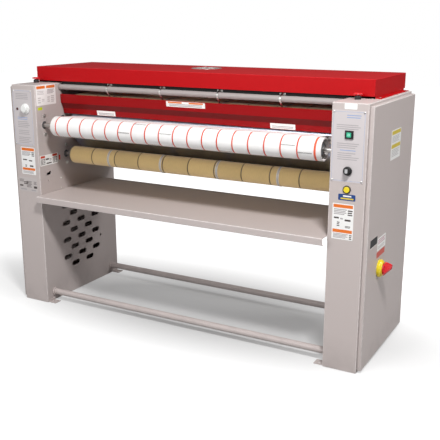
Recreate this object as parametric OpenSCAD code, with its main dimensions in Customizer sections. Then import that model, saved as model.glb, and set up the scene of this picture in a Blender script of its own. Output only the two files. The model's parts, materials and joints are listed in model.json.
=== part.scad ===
// Flatwork ironer with a heated cylinder, for a small laundry.
// X runs along the rolls, Y from the front to the back, Z up from the floor.
// The origin is on the floor, in the middle of the floor anchor pattern.

/* [Cabinets] */
// Clear width between the two cabinets
bay_w = 1602; // [1400:1:1800]
// Width of one cabinet
cab_w = 157; // [150:1:190]
// Depth of the cabinets, front to back
cab_d = 638; // [626:1:680]
// Height of the cabinets
cab_h = 1180; // [1160:1:1240]
// Thickness of the inner wall that carries the bearings
wall_t = 4; // [3:0.5:5]
// Thickness of the other cabinet sheet
sheet_t = 2; // [1.5:0.5:3]
// Width of the rim round the open outer side of a cabinet
rim_w = 24; // [18:1:30]

/* [Side doors] */
// How far a door stands proud of its cabinet
door_t = 19; // [17:1:26]
// Distance of the door's front edge behind the cabinet front
door_front = 11; // [8:1:30]
// Distance of the door's rear edge before the cabinet back
door_rear = 6; // [4:0.5:12]
// Distance of the door's bottom edge above the floor
door_low = 12; // [8:1:30]
// Distance of the door's top edge below the cabinet top
door_drop = 12; // [8:1:30]
// Gap between a door and its cabinet
door_gap = 0.4; // [0.3:0.1:1]
// Length of the recess for the pull latch
latch_l = 101; // [90:1:120]
// Height of the recess for the pull latch
latch_h = 36; // [30:1:50]
// Distance of the latch recess behind the cabinet front
latch_y = 50; // [44:1:90]
// Height of the latch's middle above the floor
latch_z = 580; // [500:1:800]
// Depth of the latch recess
latch_d = 14; // [12:0.5:15]
// Radius of a hinge knuckle
knuckle_r = 6; // [5:0.5:8]
// Radius of a hinge pin
hinge_pin_r = 3; // [2:0.25:3.5]
// Length of one hinge knuckle
knuckle_l = 18; // [14:1:40]

/* [Rolls] */
// Distance of the feed roll's axis behind the cabinet fronts
feed_y = 60; // [58:1:70]
// Distance of the feed roll's axis below the cabinet top
feed_drop = 209; // [200:1:216]
// Outer radius of the feed roll at its ends
feed_r = 51; // [46:0.5:54]
// Distance from the left inner wall to the end of the feed roll
feed_left_end = 82; // [30:1:110]
// Distance from the right inner wall to the end of the feed roll
feed_right_end = 47; // [30:1:60]
// Radius of the nose roller that turns the feed belts back
nose_r = 18; // [16:0.5:20]
// Distance of the front belt roll's axis behind the cabinet fronts
belt_roll_y = 218; // [205:1:222]
// Distance of the front belt roll's axis below the cabinet top
belt_roll_drop = 382.5; // [380:0.5:395]
// Radius of the front belt roll without its belts
belt_roll_r = 42; // [36:0.5:44]
// Radius of the three rollers that guide the ironing belts behind
guide_r = 25; // [22:0.5:28]
// Distance from an inner wall to the end of a roll that carries the ironing belts
belt_roll_end = 49; // [30:1:49]
// Distance of the two rear rollers before the cabinet back
rear_roller_in = 63; // [60:1:70]
// Distance of the upper rear roller's axis below the cabinet top
upper_rear_drop = 75; // [66:1:84]
// Distance of the lower rear roller's axis below the cabinet top
lower_rear_drop = 405; // [396:1:410]
// Radius of the feed roll's shaft
feed_shaft_r = 12.5; // [10:0.5:14]
// Radius of the other rollers' shafts
roller_shaft_r = 10; // [8:0.5:12]
// Radius of the hole in the inner wall round a roller shaft
shaft_hole_r = 20; // [17:0.5:24]

/* [Heated cylinder] */
// Distance of the cylinder's axis behind the cabinet fronts
cyl_y = 385; // [380:1:392]
// Distance of the cylinder's axis below the cabinet top
cyl_drop = 220; // [214:1:226]
// Outer radius of the cylinder
cyl_r = 150; // [140:1:152]
// Wall of the cylinder
cyl_wall = 6; // [4:0.5:10]
// Distance from an inner wall to the end of the cylinder
cyl_end = 31; // [22:1:49]
// Radius of the hollow journals
journal_r = 40; // [36:0.5:44]
// Wall of the journals
journal_wall = 12; // [8:0.5:16]
// Radius of the heater's spine tube
spine_r = 12; // [10:0.5:16]
// Radius of one heater rod
rod_r = 5.5; // [4:0.5:8]
// Distance of the heater rods from the axis
rod_ring_r = 62; // [50:1:110]
// Number of heater rods
rod_count = 6; // [3:1:9]

/* [Belts] */
// Width of one feed belt
feed_belt_w = 76; // [50:1:76]
// Distance from one feed belt to the next
feed_belt_pitch = 78.3; // [78.3:0.1:82]
// Bare end of the feed roll to the left of its belts
feed_bare = 29.7; // [25:0.1:60]
// Thickness of the feed belts
feed_belt_t = 1.7; // [1.2:0.1:2]
// Width of one ironing belt
iron_belt_w = 145; // [100:1:145]
// Distance from one ironing belt to the next
iron_belt_pitch = 148; // [147:1:149]
// Thickness of the ironing belts
iron_belt_t = 3; // [2:0.25:3.5]
// Gap between the cylinder and the ironing belts
press_gap = 2; // [1.8:0.1:4]
// Width of a guide tape
tape_w = 12; // [8:1:20]
// Thickness of a guide tape
tape_t = 1; // [0.6:0.1:1.2]
// Distance from one guide tape to the next
tape_pitch = 323; // [280:1:330]
// Number of guide tapes
tape_n = 4; // [2:1:4]

/* [Hood] */
// Distance of the hood's left end from the left cabinet's outer side
hood_left_in = 12; // [10:1:40]
// Distance of the hood's right end from the right cabinet's outer side
hood_right_in = 38; // [10:1:60]
// Distance of the hood's front behind the cabinet fronts
hood_front = 185; // [175:1:200]
// How far the hood reaches behind the cabinets
hood_over = 18; // [2:1:30]
// Height of the hood's top above the cabinet tops
hood_h = 82; // [60:1:140]
// Gap between the cabinet tops and the hood's front edge
hood_lift = 10; // [6:1:20]
// Width of the hood's end flanges
hood_flange = 24; // [16:1:30]
// Inner radius of the exhaust collar
exhaust_r = 76.5; // [60:0.5:100]
// Length of the exhaust collar
exhaust_l = 38; // [20:1:50]
// Distance of the exhaust to the left of the middle
exhaust_x = 63; // [0:1:200]
// Distance of the exhaust behind the cabinet fronts
exhaust_y = 475; // [400:1:500]

/* [Finger guard] */
// Distance of the guard's top edge behind the cabinet fronts
guard_y = 188; // [182:1:190]
// Distance of the guard's top edge below the cabinet top
guard_drop = 59; // [57:1:61]
// Height of the guard
guard_h = 103; // [98:0.5:104]
// How far the guard's lower edge leans in from its top edge
guard_lean = 26; // [20:1:30]
// Gap between the guard's ends and the cabinets
guard_gap = 4; // [2:0.5:8]
// Radius of the guard's pivot pins
guard_pin_r = 6; // [4:0.5:8]

/* [Crossbar and tape guides] */
// Radius of the crossbar tube
crossbar_r = 14.3; // [12:0.1:15]
// Wall of the crossbar tube
crossbar_wall = 2.3; // [1.5:0.1:4]
// Distance of the crossbar behind the cabinet fronts
crossbar_y = 197; // [192:1:198]
// Distance of the crossbar's axis below the cabinet top
crossbar_drop = 21; // [19:1:23]
// Height of the flat bar that holds the tape guides
tape_bar_h = 20; // [16:1:24]
// Width of one tape guide
guide_w = 9; // [6:1:16]

/* [Tray] */
// Height of the tray's upper face above the floor
tray_z = 608; // [560:1:640]
// How far the tray's lip stands before the cabinet fronts
tray_lip_out = 42; // [0:1:80]
// Distance of the tray's rear edge behind the cabinet fronts
tray_rear = 526; // [400:1:600]
// Height of the tray's front lip
tray_lip_h = 33; // [20:1:60]
// Distance of the lip's ends from the tray's ends
tray_lip_in = 5; // [0:1:30]

/* [Tie tubes and floor anchors] */
// Radius of the tie tubes
tie_r = 16.5; // [12:0.5:24]
// Wall of the tie tubes
tie_wall = 2.5; // [1.5:0.5:4]
// Height of the tie tubes' axes above the floor
tie_z = 49; // [40:1:80]
// Distance of the front tie tube behind the cabinet fronts
front_tie_y = 63; // [62:1:120]
// Distance of the rear tie tube before the cabinet back
rear_tie_in = 60; // [50:1:120]
// How far an anchor bracket reaches into the bay
anchor_reach = 45; // [36:1:70]
// Width of an anchor bracket
anchor_w = 44; // [36:1:60]
// Distance of the anchor holes from the cabinets' front and back
anchor_in = 30; // [26:1:36]
// Distance of the anchor holes from the inner wall
anchor_hole_out = 25; // [20:1:30]
// Radius of the anchor holes
anchor_hole_r = 6.5; // [4:0.5:8]

/* [Controls] */
// Distance of the start button below the cabinet top
start_drop = 129; // [90:1:180]
// Distance of the speed knob below the cabinet top
speed_drop = 279; // [240:1:300]
// Distance of the jog button below the cabinet top
jog_drop = 358; // [346:1:420]
// Distance of the thermostat knob below the cabinet top
thermostat_drop = 122; // [90:1:200]
// How far the thermostat lies inwards from its cabinet's middle
thermostat_in = 12; // [0:1:24]
// How far the pilot lamp lies outwards from its cabinet's middle
lamp_out = 46; // [42:1:56]
// Radius of the thermostat knob
thermostat_r = 27; // [20:0.5:30]
// Radius of the speed knob
speed_r = 19; // [14:0.5:26]
// Radius of the jog button
jog_r = 13; // [10:0.5:14]
// Side of the square start button
start_w = 26; // [20:0.5:30]
// Travel of the start and jog buttons
press_travel = 3; // [2:0.5:4]
// Radius of the emergency stop buttons
stop_r = 20; // [16:0.5:24]
// Travel of the emergency stop buttons
stop_travel = 4; // [3:0.5:6]
// Distance of the stop buttons behind the cabinet fronts
stop_y = 143; // [60:1:150]
// Distance of the left stop button from its cabinet's outer side
left_stop_in = 42; // [30:1:120]
// Distance of the right stop button from the inner wall
right_stop_in = 59; // [30:1:120]
// Thickness of the control overlays
overlay_t = 0.8; // [0.5:0.1:1.5]
// Radius of the isolator's round plate
isolator_r = 39.5; // [34:0.5:50]
// Distance of the isolator behind the cabinet fronts
isolator_y = 197; // [120:1:400]
// Height of the isolator above the floor
isolator_z = 436; // [300:1:500]

/* [Drive] */
// Chain pitch
chain_pitch = 19.05; // [15.875:3.175:19.05]
// Teeth of the small sprockets
small_teeth = 13; // [11:1:15]
// Teeth of the cylinder's sprockets
large_teeth = 38; // [30:1:40]
// Distance of the gear reducer's axis behind the cabinet fronts
reducer_y = 330; // [280:1:400]
// Height of the gear reducer's axis above the floor
reducer_z = 500; // [440:1:560]
// Radius of the motor
motor_r = 36; // [30:1:37]
// Length of the motor
motor_l = 185; // [120:1:210]

/* [Ventilation] */
// Length of a vent slot
slot_l = 67; // [30:1:80]
// Height of a vent slot
slot_h = 27; // [10:1:34]
// Distance from one column of slots to the next
slot_pitch_y = 63; // [60:1:70]
// Distance from one slot to the next one above
slot_pitch_z = 99; // [80:1:110]
// Number of slot columns
slot_columns = 5; // [1:1:6]
// Number of slots in a column
slot_rows = 4; // [1:1:4]
// Distance of the first slot behind the cabinet fronts
slot_y = 188; // [120:1:200]
// Height of the lowest slot above the floor
slot_z = 162; // [120:1:180]

/* [Hidden] */
$fn = 48;

// Clearances
run_gap = 0.05;   // shaft in its bearing, radially
belt_gap = 0.3;   // belt round its roll
tape_gap = 0.4;   // guide tape before the cylinder
key_gap = 0.05;   // sprocket bore round its shaft
slide_gap = 0.3;  // button in its bezel
bolt_gap = 0.25;  // bolt in its hole
end_gap = 0.3;    // sheet between the inner walls

// Frame
half_bay = bay_w / 2;
out_x = half_bay + cab_w;          // outer side of the right cabinet
wall_x = half_bay + wall_t;        // cabinet side of the inner wall
mid_x = half_bay + cab_w / 2;      // middle of the right cabinet
function fy(v) = v - cab_d / 2;    // distance behind the cabinet fronts to Y
back_y = cab_d / 2;
front_y = -cab_d / 2;

// Roll axes as [Y, Z]
function around(c, r, a) = [c[0] + r * cos(a), c[1] + r * sin(a)];
feed_c = [fy(feed_y), cab_h - feed_drop];
belt_roll_c = [fy(belt_roll_y), cab_h - belt_roll_drop];
cyl_c = [fy(cyl_y), cab_h - cyl_drop];
nip_space = 9;                     // between the cylinder and the nip roller
nose_space = 14;                   // between the cylinder and the nose roller
nip_angle = 135;
nose_angle = 171;
nip_c = around(cyl_c, cyl_r + nip_space + guide_r, nip_angle);
nose_c = around(cyl_c, cyl_r + nose_space + nose_r, nose_angle);
upper_rear_c = [back_y - rear_roller_in, cab_h - upper_rear_drop];
lower_rear_c = [back_y - rear_roller_in, cab_h - lower_rear_drop];
crossbar_c = [fy(crossbar_y), cab_h - crossbar_drop];
roller_axes = [feed_c, nose_c, belt_roll_c, nip_c, upper_rear_c, lower_rear_c];
roller_shafts = [feed_shaft_r, roller_shaft_r, roller_shaft_r, roller_shaft_r,
                 roller_shaft_r, roller_shaft_r];
upright = [0, 1];
level = [1, 0];                    // the nose roller's bolts clear the guard this way
bolt_lines = [upright, level, upright, upright, upright, upright];

// Bearings
flange_t = 10;         // two-bolt bearing flange
flange_end_r = 13;
boss_r = 27;
boss_l = 26;           // from the wall to the end of the boss
bolt_r = 5;
bolt_reach = 48;       // bearing axis to bolt
bolt_head_h = 6;
shaft_end_x = wall_x + boss_l + 6;
bolt_points = [for (i = [0 : len(roller_axes) - 1], s = [-1, 1])
  roller_axes[i] + s * bolt_reach * bolt_lines[i]];
cyl_flange_t = 12;
cyl_flange_w = 150;
cyl_boss_r = 58;
cyl_boss_l = 34;
cyl_bolt_reach = 58;   // along Y and along Z
journal_hole_r = journal_r + 8;
journal_end_x = wall_x + 96;

// Chains
feed_chain_x = wall_x + 50;
drive_chain_x = wall_x + 86;
sprocket_t = 5;
tooth_h = 5;
link_h = 6;            // half height of a link plate
link_t = 1.5;
link_gap = 0.6;        // link plate beside its sprocket
roller_pin_r = 3;
function pitch_r(n) = chain_pitch / (2 * sin(180 / n));
small_pr = pitch_r(small_teeth);
large_pr = pitch_r(large_teeth);
reducer_c = [fy(reducer_y), reducer_z];

// ---- shapes used by several pieces ----

// Block from its lowest corner to its highest one
module block(a, b) {
  translate(a) cube(b - a);
}

// Round bar along X at [Y, Z], from x0 to x1
module bar_x(c, r, x0, x1, fn = 48) {
  translate([x0, c[0], c[1]]) rotate([0, 90, 0]) cylinder(r = r, h = x1 - x0, $fn = fn);
}

// Tube along X
module tube_x(c, r, bore, x0, x1) {
  difference() {
    bar_x(c, r, x0, x1);
    bar_x(c, bore, x0 - 1, x1 + 1);
  }
}

// Round bar along Y at [X, Z], from y0 to y1
module bar_y(c, r, y0, y1, fn = 48) {
  translate([c[0], y1, c[1]]) rotate([90, 0, 0]) cylinder(r = r, h = y1 - y0, $fn = fn);
}

// Flat outline in Y and Z, pushed along X from x0 to x1
module plate_x(x0, x1) {
  translate([x0, 0, 0]) rotate([90, 0, 90]) linear_extrude(x1 - x0) children();
}

// The child and its mirror image on the other side
module both_sides() {
  children();
  mirror([1, 0, 0]) children();
}

// ---- belt loops ----

// A loop runs counter-clockwise round wheels at cs. A radius above zero has the wheel
// inside the loop, and one below zero has the loop pressed round the wheel from outside.
function turn(a) = a - 360 * floor(a / 360);
function run_angle(a, b, ra, rb) =
  atan2(b[1] - a[1], b[0] - a[0]) + acos((rb - ra) / norm(b - a));
function run_angles(cs, rs) = let (n = len(cs))
  [for (i = [0 : n - 1]) run_angle(cs[i], cs[(i + 1) % n], rs[i], rs[(i + 1) % n])];
function wrap(c, r, from, to, step) =
  let (sweep = r > 0 ? turn(to - from) : -turn(from - to),
       n = max(1, ceil(abs(sweep) / step)))
  [for (i = [0 : n]) let (a = from + sweep * i / n) [c[0] - r * cos(a), c[1] - r * sin(a)]];
function loop_points(cs, rs, step) = let (n = len(cs), angles = run_angles(cs, rs))
  [for (i = [0 : n - 1]) each wrap(cs[i], rs[i], angles[(i + n - 1) % n], angles[i], step)];

module loop_band(cs, outer, inner, step, x0, x1) {
  plate_x(x0, x1) difference() {
    polygon(loop_points(cs, outer, step));
    polygon(loop_points(cs, inner, step));
  }
}

// ---- cabinets and doors ----

// Roller shaft holes and bearing bolt holes, cut through the inner wall
module wall_holes() {
  for (c = roller_axes) bar_x(c, shaft_hole_r, half_bay - 1, wall_x + 1);
  for (c = bolt_points) bar_x(c, bolt_r + bolt_gap, half_bay - 1, wall_x + 1);
  bar_x(cyl_c, journal_hole_r, half_bay - 1, wall_x + 1);
  for (sy = [-1, 1], sz = [-1, 1]) {
    bar_x(cyl_c + cyl_bolt_reach * [sy, sz], bolt_r + bolt_gap, half_bay - 1, wall_x + 1);
  }
  bar_x(guard_pin_c, guard_pin_r + run_gap, half_bay - 1, wall_x + 1);
}

// Right-hand cabinet: a sheet box with an open outer side, behind the door
module cabinet() {
  difference() {
    block([half_bay, front_y, 0], [out_x, back_y, cab_h]);
    block([wall_x, front_y + sheet_t, sheet_t],
          [out_x - sheet_t, back_y - sheet_t, cab_h - sheet_t]);
    block([out_x - sheet_t - 1, front_y + rim_w, rim_w],
          [out_x + 1, back_y - rim_w, cab_h - rim_w]);
    wall_holes();
  }
}

slot_end_r = slot_h / 2;

// One obround vent slot in the inner wall, centred at [Y, Z]
module vent_slot(c) {
  span = slot_l / 2 - slot_end_r;
  for (s = [-1, 1]) bar_x(c + [s * span, 0], slot_end_r, half_bay - 1, wall_x + 1);
  block([half_bay - 1, c[0] - span, c[1] - slot_end_r],
        [wall_x + 1, c[0] + span, c[1] + slot_end_r]);
}

module vent_slots() {
  for (i = [0 : slot_columns - 1], j = [0 : slot_rows - 1]) {
    vent_slot([fy(slot_y + i * slot_pitch_y),
               slot_z + (j + (i % 2 == 0 ? 0.5 : 0)) * slot_pitch_z]);
  }
}

keyhole_c = [fy(70), 711];
spare_holes = [[fy(65), 675, 4], [fy(484), 266, 7.5]];   // Y, Z and radius
switch_hole_r = 11.2;
lamp_r = 5;
thermostat_c = [mid_x - thermostat_in, cab_h - thermostat_drop];
lamp_c = [mid_x + lamp_out, cab_h - thermostat_drop - 3];
start_c = [mid_x, cab_h - start_drop];
speed_c = [mid_x, cab_h - speed_drop];
jog_c = [mid_x, cab_h - jog_drop];
stop_neck_r = 8;
left_stop_c = [-(out_x - left_stop_in), fy(stop_y)];
right_stop_c = [half_bay + right_stop_in, fy(stop_y)];
bush_r = 5;

module stop_hole(c) {
  translate([c[0], c[1], cab_h - sheet_t - 1]) cylinder(r = stop_neck_r + 4, h = sheet_t + 2);
}

module left_cabinet() {
  color("silver") difference() {
    mirror([1, 0, 0]) difference() {
      cabinet();
      vent_slots();
      block([half_bay - 1, keyhole_c[0] - 16, keyhole_c[1] - 7],
            [wall_x + 1, keyhole_c[0] + 8, keyhole_c[1] + 7]);
      bar_x(keyhole_c + [8, 3], 10, half_bay - 1, wall_x + 1);
      for (c = spare_holes) bar_x(c, c[2], half_bay - 1, wall_x + 1);
      bar_y(thermostat_c, bush_r + slide_gap, front_y - 1, front_y + sheet_t + 1);
      bar_y(lamp_c, lamp_r + slide_gap, front_y - 1, front_y + sheet_t + 1);
    }
    stop_hole(left_stop_c);
  }
}

gland_c = [mid_x, 120];
gland_r = 12;

module right_cabinet() {
  color("silver") difference() {
    cabinet();
    bar_y(start_c, switch_hole_r, front_y - 1, front_y + sheet_t + 1);
    bar_y(speed_c, bush_r + slide_gap, front_y - 1, front_y + sheet_t + 1);
    bar_y(jog_c, switch_hole_r, front_y - 1, front_y + sheet_t + 1);
    bar_y(gland_c, gland_r + bolt_gap, back_y - sheet_t - 1, back_y + 1);
    stop_hole(right_stop_c);
  }
}

door_x0 = out_x + door_gap;
door_x1 = out_x + door_t;
door_y0 = fy(door_front);
door_y1 = back_y - door_rear;
door_z1 = cab_h - door_drop;
hinge_c = [out_x + door_t / 2, back_y + 1];
hinge_zs = [150, cab_h / 2, cab_h - 150];
knuckle_gap = 1;       // half the gap between two knuckles
latch_wall = 1.5;
latch_y0 = fy(latch_y);
latch_y1 = latch_y0 + latch_l;
latch_z0 = latch_z - latch_h / 2;
latch_z1 = latch_z + latch_h / 2;
paddle_t = 3;
paddle_gap = 2;
latch_pin_r = 2;
latch_barrel_r = 3;
latch_pivot = [door_x1 - latch_barrel_r - 0.5, latch_y0 + 6];

module door_knuckle(z) {
  difference() {
    union() {
      translate([hinge_c[0], hinge_c[1], z + knuckle_gap])
        cylinder(r = knuckle_r, h = knuckle_l);
      block([hinge_c[0] - 4, door_y1 - sheet_t / 2, z + knuckle_gap],
            [hinge_c[0] + 4, hinge_c[1], z + knuckle_gap + knuckle_l]);
    }
    translate([hinge_c[0], hinge_c[1], z - 1])
      cylinder(r = hinge_pin_r + run_gap, h = knuckle_l + 4);
  }
}

// Right-hand door: a sheet pan with a recess for its latch
module door() {
  difference() {
    union() {
      difference() {
        block([door_x0, door_y0, door_low], [door_x1, door_y1, door_z1]);
        block([door_x0 - 1, door_y0 + sheet_t, door_low + sheet_t],
              [door_x1 - sheet_t, door_y1 - sheet_t, door_z1 - sheet_t]);
      }
      block([door_x1 - latch_d - latch_wall, latch_y0 - latch_wall, latch_z0 - latch_wall],
            [door_x1 - sheet_t / 2, latch_y1 + latch_wall, latch_z1 + latch_wall]);
      for (z = hinge_zs) door_knuckle(z);
    }
    block([door_x1 - latch_d, latch_y0, latch_z0], [door_x1 + 1, latch_y1, latch_z1]);
    translate([latch_pivot[0], latch_pivot[1], latch_z0 - latch_wall - 1])
      cylinder(r = latch_pin_r + run_gap, h = latch_h + 2 * latch_wall + 2);
  }
}

module left_door() {
  color("silver") mirror([1, 0, 0]) door();
}

isolator_neck_r = 14;
isolator_c = [fy(isolator_y), isolator_z];

module right_door() {
  color("silver") difference() {
    door();
    bar_x(isolator_c, isolator_neck_r + bolt_gap, door_x0 - 1, door_x1 + 1);
  }
}

// Fixed hinge halves: leaf on the cabinet back, lower knuckle and pin
module hinge_half(z) {
  translate([hinge_c[0], hinge_c[1], z - knuckle_gap - knuckle_l])
    cylinder(r = knuckle_r, h = knuckle_l);
  translate([hinge_c[0], hinge_c[1], z - knuckle_gap - knuckle_l])
    cylinder(r = hinge_pin_r, h = 2 * knuckle_l + 2 * knuckle_gap);
  block([out_x - 30, back_y, z - knuckle_gap - knuckle_l],
        [hinge_c[0], back_y + 2, z - knuckle_gap]);
}

module door_hinges() {
  color("gray") both_sides() for (z = hinge_zs) hinge_half(z);
}

// Pull latch: a paddle on an upright pin at its front end
module latch() {
  block([door_x1 - paddle_t, latch_y0 + paddle_gap, latch_z0 + paddle_gap],
        [door_x1, latch_y1 - paddle_gap, latch_z1 - paddle_gap]);
  translate([latch_pivot[0], latch_pivot[1], latch_z0 + paddle_gap])
    cylinder(r = latch_barrel_r, h = latch_h - 2 * paddle_gap);
  translate([latch_pivot[0], latch_pivot[1], latch_z0 - latch_wall])
    cylinder(r = latch_pin_r, h = latch_h + 2 * latch_wall);
}

module left_latch() {
  color("dimgray") mirror([1, 0, 0]) latch();
}

module right_latch() {
  color("dimgray") latch();
}

// ---- hood ----

hood_x0 = -out_x + hood_left_in;
hood_x1 = out_x - hood_right_in;
hood_y0 = fy(hood_front);
hood_y1 = back_y + hood_over;
hood_z0 = cab_h + hood_lift;
hood_z1 = cab_h + hood_h;
exhaust_c = [-exhaust_x, fy(exhaust_y)];
collar_wall = 2;

hood_end_y0 = hood_y0 + 14;
hood_end_y1 = back_y - 4;

// End wall below the front edge, with its flange on the cabinet top
module hood_end(x, out) {
  block([min(x, x - out * sheet_t), hood_end_y0, cab_h],
        [max(x, x - out * sheet_t), hood_end_y1, hood_z0 + 1]);
  block([min(x, x + out * hood_flange), hood_end_y0, cab_h],
        [max(x, x + out * hood_flange), hood_end_y1, cab_h + sheet_t]);
}

module hood() {
  color("firebrick") difference() {
    union() {
      difference() {
        block([hood_x0, hood_y0, hood_z0], [hood_x1, hood_y1, hood_z1]);
        block([hood_x0 + sheet_t, hood_y0 + sheet_t, hood_z0 - 1],
              [hood_x1 - sheet_t, hood_y1 - sheet_t, hood_z1 - sheet_t]);
      }
      hood_end(hood_x0, -1);
      hood_end(hood_x1, 1);
    }
    translate([exhaust_c[0], exhaust_c[1], hood_z1 - 5])
      cylinder(r = exhaust_r + collar_wall + bolt_gap, h = 10, $fn = 96);
  }
}

// Duct spigot in the hood's top, with a ring flange under the sheet
module exhaust_collar() {
  color("dimgray") difference() {
    union() {
      translate([exhaust_c[0], exhaust_c[1], hood_z1 + 1 - exhaust_l])
        cylinder(r = exhaust_r + collar_wall, h = exhaust_l, $fn = 96);
      translate([exhaust_c[0], exhaust_c[1], hood_z1 - sheet_t - 2])
        cylinder(r = exhaust_r + 14, h = 2, $fn = 96);
    }
    translate([exhaust_c[0], exhaust_c[1], hood_z1 - exhaust_l])
      cylinder(r = exhaust_r, h = exhaust_l + 2, $fn = 96);
  }
}

// ---- finger guard ----

guard_t = 2;
guard_hem = 8;         // turned-in lower edge
guard_head = 12;       // turned-in upper edge
guard_p0 = [fy(guard_y), cab_h - guard_drop];
guard_p1 = guard_p0 + [0.23 * guard_lean, -0.45 * guard_h];
guard_p2 = guard_p0 + [0.77 * guard_lean, -0.73 * guard_h];
guard_p3 = guard_p0 + [guard_lean, -guard_h];
guard_pin_c = [guard_p0[0] + 12, guard_p0[1] - 9];
guard_x = half_bay - guard_gap;

module finger_guard() {
  color("firebrick") {
    plate_x(-guard_x, guard_x) polygon([
      guard_p0, guard_p1, guard_p2, guard_p3, guard_p3 + [guard_hem, 0],
      guard_p3 + [guard_hem, guard_t], guard_p3 + [guard_t, guard_t],
      guard_p2 + [guard_t, 0], guard_p1 + [guard_t, 0], guard_p0 + [guard_t, -guard_t],
      guard_p0 + [guard_head, -guard_t], guard_p0 + [guard_head, 0]]);
    both_sides() difference() {
      plate_x(guard_x - guard_t, guard_x) polygon([
        guard_p0 + [0.5, 0], guard_p1 + [0.5, 0], guard_p2 + [0.5, 0], guard_p3 + [0.5, 0],
        guard_p3 + [guard_hem, 0], [guard_p0[0] + 26, guard_p2[1]],
        [guard_p0[0] + 26, guard_p0[1] - 20], guard_p0 + [20, 0]]);
      bar_x(guard_pin_c, guard_pin_r, half_bay - 20, half_bay);
    }
  }
}

// Pivot pins: in the guard's end plates and in the inner walls
module guard_pins() {
  color("gray") both_sides() {
    bar_x(guard_pin_c, guard_pin_r - 0.02, guard_x - guard_t - 2, wall_x + 8);
    bar_x(guard_pin_c, guard_pin_r + 3, guard_x + 0.3, half_bay - 0.5);
  }
}

// ---- crossbar and tape guides ----

module crossbar() {
  color("lightgray") {
    tube_x(crossbar_c, crossbar_r, crossbar_r - crossbar_wall, -half_bay, half_bay);
    both_sides() tube_x(crossbar_c, crossbar_r + 4, crossbar_r - crossbar_wall,
                        half_bay - 6, half_bay);
  }
}

tape_bar_t = 3;
tape_bar_y = crossbar_c[0] + crossbar_r + 2;
tape_bar_z1 = cab_h + hood_lift - 1;
tape_xs = [for (i = [0 : tape_n - 1]) (i - (tape_n - 1) / 2) * tape_pitch];
guide_t = 1.5;
guide_screw_out = 11;  // guide's middle to a screw

module tape_bar() {
  color("black") {
    block([-half_bay, tape_bar_y, tape_bar_z1 - tape_bar_h],
          [half_bay, tape_bar_y + tape_bar_t, tape_bar_z1]);
  }
}

// Strip from the tape bar over the crossbar's front and down behind the guard's top edge
guide_arc_r = crossbar_r + belt_gap;
guide_arc = [for (a = [96 : 12 : 216]) around(crossbar_c, guide_arc_r, a)];
guide_arc_out = [for (a = [216 : -12 : 96]) around(crossbar_c, guide_arc_r + guide_t, a)];
guide_knee = guard_p0 + [17, 7];
guide_tail = guide_knee + [15, -24];
guide_z = tape_bar_z1 - 5;

module tape_guides() {
  color("silver") for (x = tape_xs) {
    plate_x(x - guide_w / 2, x + guide_w / 2) polygon(concat(
      [[tape_bar_y, guide_z - 9], [tape_bar_y - guide_t, guide_z - 9]],
      guide_arc, [guide_knee, guide_tail, guide_tail - [guide_t, 0],
      guide_knee - [guide_t, 0.6]], guide_arc_out,
      [[tape_bar_y - guide_t, guide_z], [tape_bar_y, guide_z]]));
    for (s = [-1, 1]) {
      bar_y([x + s * guide_screw_out, guide_z - 4], 3, tape_bar_y - 3, tape_bar_y, 24);
    }
    block([x - guide_screw_out - 4, tape_bar_y - guide_t, guide_z - 9],
          [x + guide_screw_out + 4, tape_bar_y, guide_z]);
  }
}

// ---- tray, tie tubes, anchors, rear cover ----

tray_x = half_bay - end_gap;
tray_hem = 14;
tray_flange = 20;

module delivery_tray() {
  y0 = front_y - tray_lip_out;
  y1 = fy(tray_rear);
  lip_x = tray_x - tray_lip_in;
  color("silver") {
    block([-lip_x, y0, tray_z - sheet_t], [lip_x, front_y + 5, tray_z]);
    block([-lip_x, y0, tray_z - tray_lip_h], [lip_x, y0 + sheet_t, tray_z]);
    block([-lip_x, y0, tray_z - tray_lip_h],
          [lip_x, y0 + tray_hem, tray_z - tray_lip_h + sheet_t]);
    block([-tray_x, front_y + 4, tray_z - sheet_t], [tray_x, y1, tray_z]);
    block([-tray_x, y1 - sheet_t, tray_z - tray_flange], [tray_x, y1, tray_z]);
    both_sides() block([tray_x - sheet_t, front_y + 4, tray_z - tray_flange],
                       [tray_x, y1, tray_z]);
  }
}

module tie_tube(c) {
  tube_x(c, tie_r, tie_r - tie_wall, -half_bay, half_bay);
  both_sides() tube_x(c, tie_r + 6, tie_r - tie_wall, half_bay - 8, half_bay);
}

module tie_tubes() {
  color("silver") {
    tie_tube([fy(front_tie_y), tie_z]);
    tie_tube([back_y - rear_tie_in, tie_z]);
  }
}

anchor_t = 4;

module anchor_bracket() {
  yc = front_y + anchor_in;
  difference() {
    union() {
      block([half_bay - anchor_reach, yc - anchor_w / 2, 0],
            [half_bay, yc + anchor_w / 2, anchor_t]);
      block([half_bay - anchor_t, yc - anchor_w / 2, 0],
            [half_bay, yc + anchor_w / 2, anchor_t + 10]);
    }
    translate([half_bay - anchor_hole_out, yc, -1]) cylinder(r = anchor_hole_r, h = anchor_t + 2);
  }
}

module anchor_brackets() {
  color("silver") both_sides() {
    anchor_bracket();
    mirror([0, 1, 0]) anchor_bracket();
  }
}

rear_cover_in = 8;
rear_cover_low = cab_h - 480;

module rear_cover() {
  y = back_y - rear_cover_in;
  color("silver") {
    block([-tray_x, y - sheet_t, rear_cover_low], [tray_x, y, cab_h - 2]);
    block([-tray_x, y - 16, rear_cover_low], [tray_x, y, rear_cover_low + sheet_t]);
  }
}

// ---- rolls ----

// Plain roller with a tube body, end discs and a through shaft
module roller(c, r, len, shaft_r) {
  half = len / 2;
  difference() {
    bar_x(c, r, -half, half, 72);
    bar_x(c, r - 4, -half - 1, half + 1, 72);
  }
  both_sides() difference() {
    bar_x(c, r - 3.9, half - 14, half - 8);
    bar_x(c, shaft_r - 1, half - 15, half);
  }
  bar_x(c, shaft_r, -shaft_end_x, shaft_end_x);
}

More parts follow.
